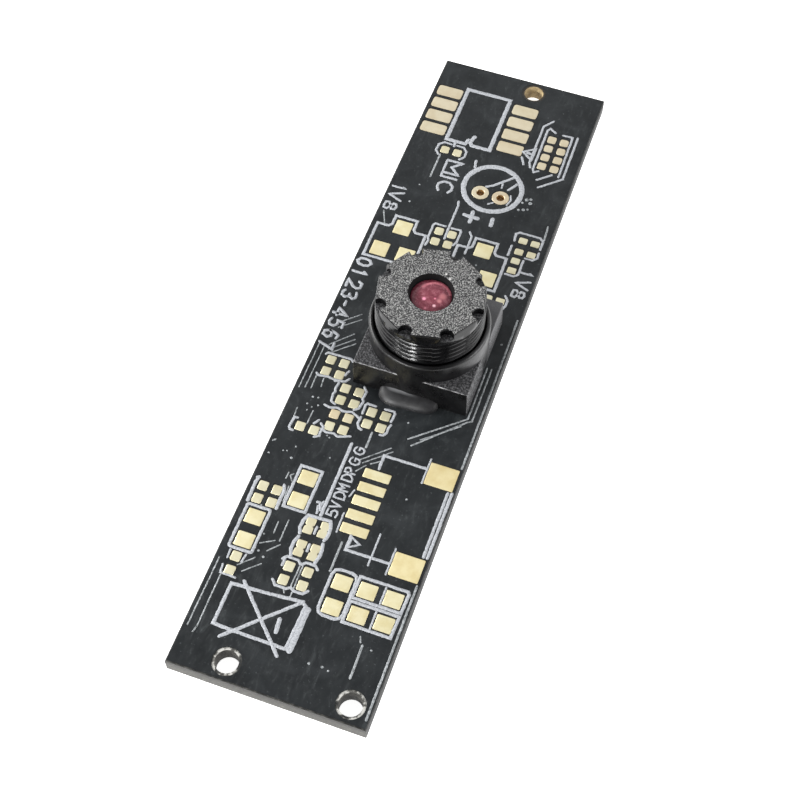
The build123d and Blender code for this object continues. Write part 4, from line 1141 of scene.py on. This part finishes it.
world = bpy.data.worlds.new("bright_tent")
bpy.context.scene.world = world
world.use_nodes = True
tent = world.node_tree
glow = tent.nodes["Background"]
tent_place = tent.nodes.new("ShaderNodeTexCoord")
tent_parts = tent.nodes.new("ShaderNodeSeparateXYZ")
tent_height = tent.nodes.new("ShaderNodeValToRGB")
tent_depth = tent.nodes.new("ShaderNodeValToRGB")
tent_shift = tent.nodes.new("ShaderNodeMath")
tent_shift.inputs[1].default_value = 1.0
tent_blend = tent.nodes.new("ShaderNodeMix")
tent_blend.data_type = "RGBA"
tent_blend.blend_type = "MULTIPLY"
tent_blend.inputs[0].default_value = 1.0
height_stops, depth_stops = ((0.35, 1.0), (0.95, 0.43)), ((0.34, 0.06), (0.7, 1.0))
for ramp_node, stops in ((tent_height, height_stops), (tent_depth, depth_stops)):
    for stop, (where, grey) in zip(ramp_node.color_ramp.elements, stops):
        stop.position = where
        stop.color = (grey, grey, grey, 1.0)
tent.links.new(tent_place.outputs["Generated"], tent_parts.inputs[0])
tent.links.new(tent_parts.outputs["Z"], tent_height.inputs["Fac"])
tent.links.new(tent_parts.outputs["Y"], tent_shift.inputs[0])
tent.links.new(tent_shift.outputs[0], tent_depth.inputs["Fac"])
tent.links.new(tent_height.outputs["Color"], tent_blend.inputs[6])
tent.links.new(tent_depth.outputs["Color"], tent_blend.inputs[7])
tent.links.new(tent_blend.outputs[2], glow.inputs["Color"])
glow.inputs["Strength"].default_value = 0.79


def window(name, at, aim, size, power):
    """One soft rectangular light, turned towards its aim."""
    lamp = bpy.data.lights.new(name, "AREA")
    lamp.shape = "RECTANGLE"
    lamp.size, lamp.size_y = size
    lamp.energy = power
    stand = bpy.data.objects.new(name, lamp)
    stand.location = at
    stand.rotation_euler = (Vector(aim) - Vector(at)).to_track_quat("-Z", "Y").to_euler()
    bpy.context.scene.collection.objects.link(stand)


window("left_window", (-0.2, 0.02, 0.1), (0.0, 0.0, 0.0), (0.14, 0.1), 0.62)
window("near_left_window", (-0.1, -0.205, 0.085), (0.0, 0.0, 0.0), (0.15, 0.016), 0.62)
window("right_window", (0.2, 0.04, 0.09), (0.0, 0.0, 0.0), (0.12, 0.08), 0.36)

camera_data = bpy.data.cameras.new("photo_camera")
camera_data.sensor_width = 36.0
camera_data.lens = 63.063
camera_data.clip_start = 0.001
camera = bpy.data.objects.new("photo_camera", camera_data)
right_axis = Vector((0.94227, 0.33468, 0.01046))
up_axis = Vector((-0.2887, 0.79619, 0.53173))
back_axis = Vector((0.16963, -0.50406, 0.84685))
camera.matrix_world = Matrix.Translation((0.015811, -0.049595, 0.077322)) @ Matrix(
    (right_axis, up_axis, back_axis)
).transposed().to_4x4()
bpy.context.scene.collection.objects.link(camera)
bpy.context.scene.camera = camera
bpy.context.scene.view_settings.view_transform = "Standard"
bpy.context.scene.view_settings.look = "None"
